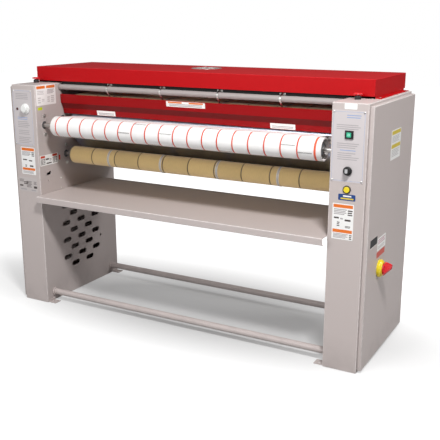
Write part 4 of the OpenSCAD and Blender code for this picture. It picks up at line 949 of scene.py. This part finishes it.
def screwShape(size, height):  # pan head with a cross recess
    rings = []
    for rise, wide in screw["rings"]:
        ring = []
        for i in range(screw["steps"]):
            a = 2 * math.pi * i / screw["steps"]
            crossed = i % 6 == 0 and wide < 0.5 or wide < 0.2
            z = height * (rise - (screw["recess"] if crossed else 0))
            ring.append((size * wide * math.cos(a), size * wide * math.sin(a), z))
        rings.append(ring)
    bm = bmesh.new()
    skinned(bm, rings)
    return spareObject("screwShape", bm)


bolt = {"radius": 8.2 * mm, "head": 6 * mm, "nut": 7 * mm, "shank": 5 * mm, "length": 12 * mm,
        "nutIn": 9 * mm, "washerThick": 0.18, "washerWide": 1.12, "ease": 0.14}
wallX = 801 * mm  # the inner walls' faces towards the rolls


def hexShape(name, height):  # a hexagon on a washer, with its shank
    size, shank, washer = bolt["radius"], bolt["shank"], height * bolt["washerThick"]
    eased = 1 - bolt["ease"]
    bm = bmesh.new()
    turn(bm, rod(-bolt["length"], height * 0.5, shank), Vector(), zAxis, 16)
    turn(bm, tube(0, washer, size * bolt["washerWide"], shank * 0.9), Vector(), zAxis, 24, True)
    turn(bm, [(washer, 0), (washer, size), (height * eased, size), (height, size * eased),
              (height, 0)], Vector(), zAxis, 6)
    return spareObject(name, facesOut(bm))


anyAngle = 6.28


def placeScrews(name, shape, places, seed, replaced=()):  # each turned at random
    placeAll(name, shape, places, "screwZinc", "frame", replaced, anyAngle, seed)


screwHeads = {}  # radius of the head to its places
for low, high in nodeIslands("cover_screws"):
    size, middle = high - low, (low + high) / 2
    k = min(range(3), key=lambda i: size[i])  # a head is thinnest the way it looks
    aim = Vector()
    aim[k] = (-1 if middle.x > 0 else 1, -1, 1)[k]
    place = (middle - aim * size[k] / 2, aim, xAxis if k == 2 else zAxis)
    screwHeads.setdefault(round(max(size) / 2, 4), []).append(place)
for number, (size, places) in enumerate(sorted(screwHeads.items())):
    placeScrews("coverScrews%d" % number, screwShape(size, 2.5 * mm), places, 4,
                () if number else ("cover_screws",))
print("cover screws", [(size, len(places)) for size, places in screwHeads.items()])

headPlaces, nutPlaces = [], []
for low, high in nodeIslands("bearing_bolts"):
    middle = (low + high) / 2
    side = 1 if middle.x > 0 else -1
    end = (high.x if side > 0 else -low.x) - bolt["nutIn"]
    for places, x, way in ((headPlaces, wallX, -side), (nutPlaces, end, side)):
        places.append((Vector((side * x, middle.y, middle.z)), xAxis * way, zAxis))
placeScrews("bearingBolts", hexShape("boltHead", bolt["head"]), headPlaces, 7, ("bearing_bolts",))
placeScrews("bearingNuts", hexShape("boltNut", bolt["nut"]), nutPlaces, 8)

bm = joinedCopy("tape_guides")
easeEdges(bm, 0.3 * mm, 2, 2 * mm, 45)
addNodePiece("tapeGuides", bm, "screwZinc", "tape_guides", 30)

chain = {"pitch": 19.05 * mm, "plate": 1.5 * mm, "half": 5.2 * mm, "waist": 0.68,
         "pin": 1.9 * mm, "inner": 3.3 * mm, "outer": 5.2 * mm}
chainTeeth = (13, 38)


def linkShape(name, offset):  # two figure-of-eight plates, one pin through them
    half, tall, plate = chain["pitch"] / 2, chain["half"], chain["plate"]
    outline = []
    for side, start in ((1, -90), (-1, 90)):
        for i in range(7):
            a = math.radians(start + i * 30)
            outline.append((side * half + tall * math.cos(a), tall * math.sin(a)))
        outline.append((0, side * tall * chain["waist"]))
    bm = bmesh.new()
    for low in (-offset - plate / 2, offset - plate / 2):
        skinned(bm, [[(x, y, z) for x, y in outline] for z in (low, low + plate)])
    turn(bm, rod(-offset - plate, offset + plate, chain["pin"]), Vector((half, 0, 0)), zAxis, 10)
    return spareObject(name, facesOut(bm))


links = [linkShape("innerLink", chain["inner"]), linkShape("outerLink", chain["outer"])]


def chainPins(x, wheels):  # where the pins are, evenly along the chain's path
    radii = [chain["pitch"] / (2 * math.sin(math.pi / teeth)) for teeth in chainTeeth]
    path = loopPath(wheels, radii, 3)
    lengths = [0.0]
    for a, b in zip(path, path[1:]):
        lengths.append(lengths[-1] + math.hypot(b[0] - a[0], b[1] - a[1]))
    count = 2 * round(lengths[-1] / chain["pitch"] / 2)
    pins = []
    for i in range(count):
        distance = lengths[-1] * i / count
        k = max(n for n in range(len(lengths) - 1) if lengths[n] <= distance)
        t = (distance - lengths[k]) / max(lengths[k + 1] - lengths[k], 1e-9)
        pins.append(Vector((x, *(path[k][n] + (path[k + 1][n] - path[k][n]) * t
                                 for n in range(2)))))
    return pins


def chainPiece(name, node, smallWheel):
    pins = chainPins(centreOf(node).x, [wheelOf(smallWheel), wheelOf("heated_cylinder")])
    for first, label in enumerate(("Inner", "Outer")):
        places = []
        for i in range(first, len(pins), 2):
            a, b = pins[i], pins[(i + 1) % len(pins)]
            places.append(((a + b) / 2, xAxis, (b - a).normalized()))
        placeAll(name + label, links[first], places, "darkSteel", bodyOf(node),
                 () if first else (node,))


chainPiece("driveChain", "drive_chain", "drive_sprocket")
chainPiece("feedChain", "feed_chain", "feed_sprocket")

motor = {"body": 33 * mm, "flange": 36 * mm, "axisX": 37 * mm, "foot": 30 * mm, "cap": 10 * mm,
         "neck": 2 * mm, "fins": 11, "finPitch": 9 * mm, "finThick": 2.6 * mm,
         "finStart": 42 * mm, "boxStart": 60 * mm, "boxIn": 8 * mm,
         "boxSize": (40 * mm, 34 * mm, 60 * mm)}


def motorPieces():
    low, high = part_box("drive_motor")
    body, flange, bottom, top = motor["body"], motor["flange"], low.z, high.z
    centre = Vector((low.x + motor["axisX"], wheelOf("gear_reducer")[0], 0))
    foot, cap, neck = bottom + motor["foot"], top - motor["cap"], body - motor["neck"]
    shell = [(bottom, 0), (bottom, body), (foot, body), (foot, neck), (cap, neck), (cap, flange),
             (top, flange), (top, 0)]
    turnedPiece("motorShell", [(softened(shell, 2 * mm, 3), False, 0)], centre, zAxis,
                "motorPaint", "drive_motor")
    ring = tube(0, motor["finThick"], flange, body - 3 * mm)
    bm = bmesh.new()
    turn(bm, softened(ring, 0.8 * mm, 2, True), Vector(), zAxis, 48, True)
    places = [(centre + zAxis * (bottom + motor["finStart"] + i * motor["finPitch"]), zAxis, xAxis)
              for i in range(motor["fins"])]
    placeAll("motorFins", spareObject("finRing", facesOut(bm)), places, "motorPaint", "frame")
    bm = bmesh.new()
    size = motor["boxSize"]
    block(bm, (centre.x - size[0] / 2, centre.y + flange - motor["boxIn"],
               bottom + motor["boxStart"]), size)
    easeEdges(bm, 2.5 * mm, 3, 3 * mm)
    addPiece("motorTerminalBox", bm, "motorPaint", "frame")


motorPieces()
print("drive")

panelFace = -320.2 * mm  # just off the overlays
knobs = {  # node, finish of the knob and of its pointer, radius, depth, ribs, pointer's width
    "thermostat": ("thermostat_knob", "whitePlastic", "labelWhite", 27, 20, 28, 7),
    "speed": ("speed_knob", "blackPlastic", "greyPlastic", 19, 21, 22, 12),
}
knobRib = {"width": 1.8 * mm, "shorter": 12 * mm, "thick": 1.2 * mm, "roundness": 0.6 * mm,
           "forward": 3 * mm, "outwards": 0.69}
knobShaft = rod(-16 * mm, 1 * mm, 3 * mm)


# skirt against the panel, grip in front of it, ribs round the grip, pointer on its face
def knobPieces(name, node, finishName, pointerFinish, size, depth, ribs, pointerWidth):
    centre = centreOf(node)
    centre.y = panelFace
    skirt = [(0, 0), (0, size), (6 * mm, size), (9 * mm, size * 0.86), (9 * mm, 0)]
    grip = [(8 * mm, 0), (8 * mm, size * 0.74), (depth - 2 * mm, size * 0.66),
            (depth, size * 0.6), (depth, 0)]
    turnedPiece(name + "Knob", [(softened(skirt, 1.4 * mm, 3), False, 0),
                                (softened(grip, 1.6 * mm, 3), False, 1),
                                (knobShaft, False, 0)],
                centre, -yAxis, [finishName, finishName], node, 56)
    bm = bmesh.new()
    sheetPlate(bm, knobRib["width"], depth - knobRib["shorter"], knobRib["thick"],
               knobRib["roundness"], Vector(), flat)
    places = []
    for i in range(ribs):
        a = 2 * math.pi * i / ribs
        out = Vector((math.cos(a), 0, math.sin(a)))
        place = centre + out * size * knobRib["outwards"] - yAxis * (depth / 2 + knobRib["forward"])
        places.append((place, out, out.cross(yAxis)))
    placeAll(name + "KnobRibs", spareObject(name + "Rib", facesOut(bm)), places, finishName,
             bodyOf(node))
    bm = bmesh.new()
    sheetPlate(bm, pointerWidth, size * 0.9, 0.5 * mm, 1 * mm,
               centre - yAxis * depth + zAxis * size * 0.1, upright)
    addPiece(name + "Pointer", bm, pointerFinish, bodyOf(node))


for name, (node, finishName, pointerFinish, size, depth, ribs, wide) in knobs.items():
    knobPieces(name, node, finishName, pointerFinish, size * mm, depth * mm, ribs, wide * mm)


def standsOut(node):  # its axis towards the front, and where it ends behind and in front
    low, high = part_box(node)
    return Vector(((low.x + high.x) / 2, 0, (low.z + high.z) / 2)), -high.y, -low.y


def behind(front, points):  # an outline from its (distance behind the front, radius) in mm
    return [(front - back * mm, size * mm) for back, size in points]


lampLens = ((4, 5), (1.8, 4.4), (0.5, 2.8), (0, 0))
jogCap = ((4.4, 0), (4.4, 13), (1.4, 13), (0.3, 11.4), (0.5, 6), (0.7, 0))
stopCap = ((8, 7.95), (8, 18), (6.8, 20), (3.4, 20), (1.4, 18), (0.3, 12), (0, 0))
lampRings = ((7, 319.8, 321.8), (8, 311, 317))  # rim and nut: radius, start and end, in mm
lampHole, lensRadius = 4.6 * mm, 5 * mm
startFaces = (  # width, thickness, roundness, and how far it starts behind the front, in mm
    (26, 4.6, 2.5, 4.6), (20, 0.8, 2, 0.5), (11, 0.15, 1.5, -0.25))
buttonStem = {"radius": 4 * mm, "in": 3 * mm}


def stemOf(back, reach):
    return rod(back, reach - buttonStem["in"], buttonStem["radius"])


def pilotLamp():
    axis, back, reach = standsOut("pilot_lamp")
    lens = [(back, 0), (back, lensRadius), *behind(reach, lampLens)]
    rings = [(roundedTube(start * mm, end * mm, size * mm, lampHole, 0.6 * mm), True, 1)
             for size, start, end in lampRings]
    turnedPiece("pilotLamp", [(lens, False, 0), *rings], axis, -yAxis,
                ["lampLens", "blackPlastic"], "pilot_lamp", 32)


def startButton():
    axis, back, reach = standsOut("start_button")
    bm = bmesh.new()
    for part, (size, thick, corner, depth) in enumerate(startFaces):
        sheetPlate(bm, size * mm, size * mm, thick * mm, corner * mm,
                   axis - yAxis * (reach - depth * mm), upright, part)
    turn(bm, stemOf(back, reach), axis, -yAxis, 24)
    addNodePiece("startButton", facesOut(bm), ["blackPlastic", "greenLens", "greenPale"],
                 "start_button")


def jogButton():
    axis, back, reach = standsOut("jog_button")
    cap = softened(behind(reach, jogCap), 0.8 * mm, 3)
    turnedPiece("jogButton", [(cap, False, 0), (stemOf(back, reach), False, 0)], axis, -yAxis,
                "yellowPlastic", "jog_button", 48)


pilotLamp()
startButton()
jogButton()

stop = {"neck": 7.95 * mm, "hole": 8 * mm, "base": 14 * mm, "inRoof": 11.5 * mm,
        "collar": 11.8 * mm, "roof": 1180 * mm, "sheet": 2.2 * mm}


def underneath(low, high):  # the foot of the upright axis through the middle of a box
    return Vector(((low.x + high.x) / 2, (low.y + high.y) / 2, 0))


def stopButton(name, node):
    low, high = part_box(node)
    outline = [(low.z, 0), (low.z, stop["neck"]), *behind(high.z, stopCap)]
    turnedPiece(name, [(softened(outline, 1.2 * mm, 3), False, 0)], underneath(low, high), zAxis,
                "redPlastic", node, 56)


def stopBases():  # rings that pass through the roof and end on it
    roof, hole, base, neck = stop["roof"], stop["hole"], stop["base"], stop["inRoof"]
    inside, collar = roof - stop["sheet"], stop["collar"]
    bm = bmesh.new()
    for low, high in nodeIslands("stop_bases"):
        outline = [(low.z, hole), (low.z, neck), (inside, neck), (inside, collar), (roof, collar),
                   (roof, base), (high.z - 3 * mm, base), (high.z, base - 2 * mm), (high.z, hole)]
        turn(bm, softened(outline, 0.7 * mm, 2, True), underneath(low, high), zAxis, 48, True)
    addNodePiece("stopBases", facesOut(bm), "blackPlastic", "stop_bases")


stopButton("leftStop", "left_stop_button")
stopButton("rightStop", "right_stop_button")
stopBases()

isolator = {"thick": 21 * mm, "neck": 14 * mm, "neckStart": 40 * mm,
            "boxSize": (44 * mm, 56 * mm, 64 * mm)}


def isolatorPieces():
    low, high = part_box("main_isolator")
    centre = Vector((0, (low.y + high.y) / 2, (low.z + high.z) / 2))
    front, rim = high.x, (high.y - low.y) / 2
    back, dish = front - isolator["thick"], front - 1.2 * mm
    plate = [(back, 0), (back, rim), (front - 9.5 * mm, rim), (front - 7 * mm, rim - 2 * mm),
             (front - 4.6 * mm, rim * 0.87), (front, rim * 0.83), (front, rim * 0.63),
             (dish, rim * 0.61), (dish, 0)]
    bm = bmesh.new()
    turn(bm, softened(plate, 1.3 * mm, 3), centre, xAxis, 72)
    turn(bm, rod(low.x + isolator["neckStart"], back + 1 * mm, isolator["neck"]), centre, xAxis, 32)
    size = isolator["boxSize"]
    block(bm, (low.x, centre.y - size[1] / 2, centre.z - size[2] / 2), size, 1)
    addNodePiece("isolatorPlate", facesOut(bm), ["yellowPlastic", "darkPlastic"], "main_isolator")
    easedPiece("isolator_handle", "redPlastic", 0, 2.2 * mm)


isolatorPieces()
print("controls")

frontY, panelY, doorX, leftX = -319 * mm, -319.8 * mm, 977 * mm, -958 * mm
surfaces = {  # body, where across and height count from, and how it faces
    "front": ("frame", Vector((leftX, frontY, 0)), upright),
    "leftWall": ("frame", Vector((-wallX, frontY, 0)), (yAxis, zAxis, xAxis)),
    "rightDoor": ("right_door", Vector((doorX, frontY, 0)), (yAxis, zAxis, xAxis)),
}
# each plate: surface, from and to across, from and to height, finish, and its printed parts:
# from and to across, from and to height, finish, number of lines (0 for one solid part)
plates = {
    "leftFrontPlate": ("front", 36, 131, 712, 857, "labelWhite", [
        (41, 127, 838, 853, "labelOrange", 0), (42, 104, 811, 835, "inkGrey", 4),
        (108, 127, 809, 834, "inkDark", 3), (46, 74, 787, 793, "inkDark", 0),
        (88, 110, 783, 789, "inkDark", 0), (60, 72, 750, 764, "inkDark", 2),
        (92, 116, 754, 762, "inkDark", 0), (41, 127, 734, 747, "labelOrange", 0),
        (42, 120, 716, 731, "inkGrey", 3)]),
    "leftLowPlate": ("front", 8, 134, 618, 694, "labelSilver", [
        (12, 44, 668, 684, "labelGrey", 3), (12, 36, 644, 652, "inkDark", 0),
        (42, 72, 656, 672, "inkDark", 2), (60, 98, 640, 676, "labelGrey", 5),
        (110, 130, 658, 676, "labelGrey", 3), (110, 132, 638, 650, "inkDark", 0),
        (18, 60, 626, 632, "inkGrey", 0), (92, 124, 624, 630, "inkGrey", 0)]),
    "wallTopPlate": ("leftWall", 8, 158, 1074, 1178, "labelWhite", [
        (14, 78, 1159, 1173, "labelOrange", 0), (88, 153, 1159, 1173, "labelOrange", 0),
        (18, 70, 1128, 1150, "inkPale", 3), (20, 42, 1084, 1118, "inkPale", 3),
        (50, 70, 1092, 1108, "inkPale", 2), (92, 146, 1130, 1154, "inkGrey", 4),
        (92, 112, 1086, 1118, "inkPale", 3), (120, 146, 1084, 1122, "inkPale", 4)]),
    "wallDot": ("leftWall", 16, 50, 1051, 1065, "labelLime", []),
    "wallMiddlePlate": ("leftWall", 8, 148, 758, 814, "labelWhite", [
        (13, 46, 799, 811, "labelRed", 0), (13, 36, 763, 796, "labelGrey", 5),
        (38, 47, 763, 796, "inkDark", 4), (52, 76, 786, 794, "inkDark", 0),
        (80, 97, 778, 792, "inkGrey", 2), (56, 96, 765, 771, "inkDark", 0),
        (104, 141, 799, 811, "labelRed", 0), (104, 130, 763, 796, "labelGrey", 5),
        (132, 142, 763, 796, "inkDark", 4)]),
    "wallSmallPlate": ("leftWall", 151, 169, 764, 806, "labelSilver", [
        (154, 166, 772, 799, "labelRed", 0)]),
    "rightTopPlate": ("front", 1812, 1866, 1154, 1178, "labelWhite", []),
    "rightBluePlate": ("front", 1801, 1876, 775, 802, "labelBlue", [
        (1822, 1858, 791, 797, "labelWhite", 0), (1812, 1868, 780, 786, "labelYellow", 0)]),
    "rightFrontPlate": ("front", 1778, 1872, 604, 760, "labelWhite", [
        (1782, 1868, 742, 756, "labelOrange", 0), (1785, 1842, 711, 738, "inkGrey", 4),
        (1846, 1867, 709, 736, "inkDark", 3), (1786, 1808, 694, 701, "inkDark", 0),
        (1814, 1826, 692, 698, "inkGrey", 0), (1834, 1860, 686, 694, "inkDark", 0),
        (1800, 1812, 660, 682, "inkDark", 3), (1836, 1860, 656, 666, "inkDark", 2),
        (1782, 1868, 634, 648, "labelOrange", 0), (1785, 1852, 609, 631, "inkGrey", 4),
        (1856, 1867, 607, 630, "inkDark", 3)]),
    "doorPlate": ("rightDoor", 276, 422, 906, 1038, "labelWhite", [
        (281, 417, 1017, 1034, "labelYellow", 0), (288, 404, 982, 1012, "inkPale", 5),
        (281, 417, 957, 974, "labelYellow", 0), (288, 404, 918, 952, "inkPale", 5)]),
    "doorSmallPlate": ("rightDoor", 154, 275, 523, 582, "labelWhite", [
        (162, 266, 552, 576, "labelPink", 3), (162, 258, 530, 545, "inkPale", 2)]),
    "doorRedPlate": ("rightDoor", 150, 268, 492, 519, "labelRed", []),
}
lineLengths = (1.0, 0.9, 0.97, 0.82, 0.94)
lineHeight = 0.58  # of the distance between two lines
plateThick, printLift, printThick = 0.4 * mm, 0.35 * mm, 0.15 * mm


def platePiece(name, surface, a0, a1, h0, h1, base, prints):
    body, start, facing = surfaces[surface]
    right, up, out = facing

    def place(across, height):
        return start + right * across * mm + up * height * mm

    bm = bmesh.new()
    names = [base]
    sheetPlate(bm, (a1 - a0) * mm, (h1 - h0) * mm, plateThick, 4 * mm,
               place((a0 + a1) / 2, (h0 + h1) / 2), facing)
    for b0, b1, g0, g1, printed, rows in prints:
        if printed not in names:
            names.append(printed)
        pitch = (g1 - g0) / max(rows, 1)
        tall = pitch * (lineHeight if rows else 1)
        for row in range(max(rows, 1)):
            long = (b1 - b0) * (lineLengths[row % len(lineLengths)] if rows else 1)
            spot = place(b0 + long / 2, g1 - (row + 0.5) * pitch) + out * printLift
            sheetPlate(bm, long * mm, tall * mm, printThick, min(1, tall * 0.3) * mm, spot,
                       facing, names.index(printed))
    addPiece(name, bm, names, body)


for name, values in plates.items():
    platePiece(name, *values)

# the finger guard's section, from its top edge: the ends of its flat faces, in mm
guard = {"topY": -131, "topZ": 1121, "bends": ((0, 0), (5.98, -46.35), (20.02, -75.19), (26, -103))}
guardPlates = {  # from and to across, which face, from and to down the face, of 1
    "guardLeftPlate": (386, 504, 2, 0.03, 0.93), "guardMiddlePlate": (830, 1050, 0, 0.05, 0.62),
    "guardRightPlate": (1384, 1509, 2, 0.03, 0.93),
}
# prints on them: right and down from the middle, width and height, of the plate's
guardBlocks = ((-0.27, -0.3, 0.36, 0.28), (0.27, -0.3, 0.36, 0.28))
guardLines = ((0, 0.02, 0.84, 0.14), (0, 0.28, 0.84, 0.14))
lineThick = 0.12 * mm


def guardPlate(name, x0, x1, face, s0, s1):
    start, end = (Vector((0, y, z)) for y, z in guard["bends"][face:face + 2])
    down = (end - start).normalized()
    out = down.cross(xAxis).normalized()
    facing = (xAxis, -down, out)
    middle = (Vector((0, guard["topY"], guard["topZ"])) + start.lerp(end, (s0 + s1) / 2)) * mm
    middle.x = leftX + (x0 + x1) / 2 * mm
    wide, height = (x1 - x0) * mm, (end - start).length * (s1 - s0) * mm
    bm = bmesh.new()
    sheetPlate(bm, wide, height, plateThick, 2 * mm, middle, facing)
    for part, thick, prints in ((1, printThick, () if face else guardBlocks),
                                (2, lineThick, guardLines)):
        for across, below, long, tall in prints:
            place = middle + out * printLift + xAxis * wide * across + down * height * below
            sheetPlate(bm, wide * long, height * tall, thick, 1 * mm, place, facing, part)
    addPiece(name, bm, ["labelWhite", "labelOrange", "inkGrey"], "finger_guard")


for name, values in guardPlates.items():
    guardPlate(name, *values)

# thin border line of each control overlay: from and to across, from and to height
borders = {"leftBorder": (8, 131, 872, 1150), "rightBorder": (1767, 1901, 858, 1144)}
borderWide, borderSink = 0.9, 0.02 * mm
for name, (x0, x1, z0, z1) in borders.items():
    bm = bmesh.new()
    for a0, a1, h0, h1 in ((x0, x1, z1 - borderWide, z1), (x0, x1, z0, z0 + borderWide),
                           (x0, x0 + borderWide, z0, z1), (x1 - borderWide, x1, z0, z1)):
        place = Vector((leftX + (a0 + a1) / 2 * mm, panelY + borderSink, (h0 + h1) / 2 * mm))
        sheetPlate(bm, (a1 - a0) * mm, (h1 - h0) * mm, lineThick, 0.2 * mm, place, upright)
    addPiece(name, bm, "inkBlue", "frame")

barBlocks = {  # plain bars on the overlays: left, top, rows, longest, shortest, finish, row pitch
    "leftBarsTop": (26, 1134, 4, 84, 62, "inkGrey", 8.5),
    "leftBarsA": (30, 1012, 2, 86, 60, "inkBlue", 9),
    "leftBarsB": (30, 990, 4, 88, 60, "inkGrey", 9),
    "leftBarsC": (32, 944, 3, 76, 58, "inkGrey", 9),
    "leftBarsD": (30, 908, 4, 88, 66, "inkGrey", 9),
    "rightBarsTop": (1782, 1090, 3, 102, 82, "inkGrey", 8),
    "rightBarsHead": (1824, 1130, 2, 68, 48, "inkBlue", 9),
    "rightBarsA": (1786, 1014, 3, 100, 78, "inkGrey", 8.5),
    "rightBarsB": (1800, 986, 1, 70, 66, "inkBlue", 8),
    "rightBarsC": (1790, 974, 4, 92, 60, "inkGrey", 8.5),
}
bar = {"height": 3.2 * mm, "raise": 0.2 * mm, "lift": 0.02 * mm}
for seed, (name, values) in enumerate(barBlocks.items()):
    left, top, rows, longest, shortest, inkName, pitch = values
    mesh = bakedTree(name, pointSource(name + "Source", [(Vector(), zAxis, xAxis)]), barTree,
                     {"Rows": rows, "Row pitch": pitch * mm, "Longest": longest * mm,
                      "Shortest": shortest * mm, "Bar height": bar["height"],
                      "Raise": bar["raise"], "Seed": seed, "Finish": finish[inkName]})
    for vert in mesh.vertices:
        vert.co += Vector((leftX + left * mm, panelY - bar["lift"], top * mm))
    newPiece(name, mesh, "frame")
print("plates")

# the glow goes from low to high between the two radii, painting a shadow pool near the machine
paintedShadowPool = {"stretch": (0.36, 1, 1), "radii": (0.24, 0.8), "glow": (0.16, 1.0), "grey": 0.46}
floorHalf = 14
# light of the room: everywhere, more from behind and from the left, and what bare metal
# mirrors; each goes from one strength to another between two headings
studio = {"soft": 0.07, "behind": (0, 0.2, -0.2, 0.9), "left": (0.5, 0, -0.9, 0.1),
          "mirrored": (0.6, 0.12, -0.3, 0.6)}
lamps = {  # place, width, height, power; all look at lampAim
    "key": ((1.9, -2.16, 3.91), 0.6, 0.5, 150),
    "fill": ((-0.8, -4.1, 2.6), 1.6, 0.8, 58),
    "side": ((5.2, 2.0, 4.0), 1.4, 1.0, 112),
}
lampAim = Vector((0.0, 0.0, 0.7))
view = {"lens": 60.353, "place": (1.8592, -3.1904, 1.505), "tilt": 74.771, "turn": 28.838}


def mixed(tree, factor, low, high):
    return flow(tree, "ShaderNodeMix", {0: factor, 2: low, 3: high})


def newFloorFinish():  # a pale floor that shows white far off; its glow is weaker near the machine, which paints a soft grey shadow pool under it
    material = bpy.data.materials.new("paleFloor")
    material.use_nodes = True
    tree = material.node_tree
    tree.nodes.remove(tree.nodes["Principled BSDF"])
    under = flow(tree, "ShaderNodeVectorMath", {0: objectPoint(tree), 1: paintedShadowPool["stretch"]},
                 operation="MULTIPLY")
    distance = put(tree, "ShaderNodeVectorMath", {0: under}, operation="LENGTH").outputs["Value"]
    matt = flow(tree, "ShaderNodeBsdfDiffuse", {"Color": (*[paintedShadowPool["grey"]] * 3, 1)})
    glow = flow(tree, "ShaderNodeEmission",
                {"Color": (1, 1, 1, 1),
                 "Strength": spread(tree, distance, *paintedShadowPool["glow"], *paintedShadowPool["radii"])})
    both = flow(tree, "ShaderNodeAddShader", {0: matt, 1: glow})
    seen = put(tree, "ShaderNodeLightPath").outputs["Is Camera Ray"]
    choice = flow(tree, "ShaderNodeMixShader", {0: seen, 1: matt, 2: both})
    tree.links.new(choice, tree.nodes["Material Output"].inputs["Surface"])
    return material


def addFloor():
    bm = bmesh.new()
    bmesh.ops.create_grid(bm, x_segments=2, y_segments=2, size=floorHalf)
    mesh = meshFrom("floor", bm)
    mesh.materials.append(newFloorFinish())
    floor = bpy.data.objects.new("floor", mesh)
    scene.collection.objects.link(floor)


def addStudio():  # white to the camera; more soft light from behind and from the left
    scene.world = bpy.data.worlds.new("studio")
    scene.world.use_nodes = True
    tree = scene.world.node_tree
    path = put(tree, "ShaderNodeLightPath").outputs
    direct = maths(tree, "MAXIMUM", path["Is Camera Ray"], path["Is Transmission Ray"])
    heading = partsOf(tree, objectPoint(tree))
    fromBehind = spread(tree, heading[1], *studio["behind"])
    fromLeft = spread(tree, heading[0], *studio["left"])
    soft = maths(tree, "ADD", studio["soft"], maths(tree, "ADD", fromBehind, fromLeft))
    mirrored = spread(tree, heading[1], *studio["mirrored"])
    strength = mixed(tree, direct, mixed(tree, path["Is Glossy Ray"], soft, mirrored), 1.0)
    background = tree.nodes["Background"].inputs
    tree.links.new(strength, background["Strength"])
    background["Color"].default_value = (1, 1, 1, 1)


def addLamp(name, place, wide, tall, power):
    light = bpy.data.lights.new(name, "AREA")
    light.shape = "RECTANGLE"
    light.size, light.size_y, light.energy = wide, tall, power
    lamp = bpy.data.objects.new(name, light)
    lamp.location = place
    lamp.rotation_euler = (lampAim - Vector(place)).to_track_quat("-Z", "Y").to_euler()
    scene.collection.objects.link(lamp)


def addCamera():
    data = bpy.data.cameras.new("camera")
    data.lens, data.sensor_width = view["lens"], 36
    camera = bpy.data.objects.new("camera", data)
    camera.location = view["place"]
    camera.rotation_euler = (math.radians(view["tilt"]), 0, math.radians(view["turn"]))
    scene.collection.objects.link(camera)
    scene.camera = camera


addFloor()
addStudio()
for name, values in lamps.items():
    addLamp(name, *values)
addCamera()
scene.view_settings.view_transform = "Standard"
print("stage")
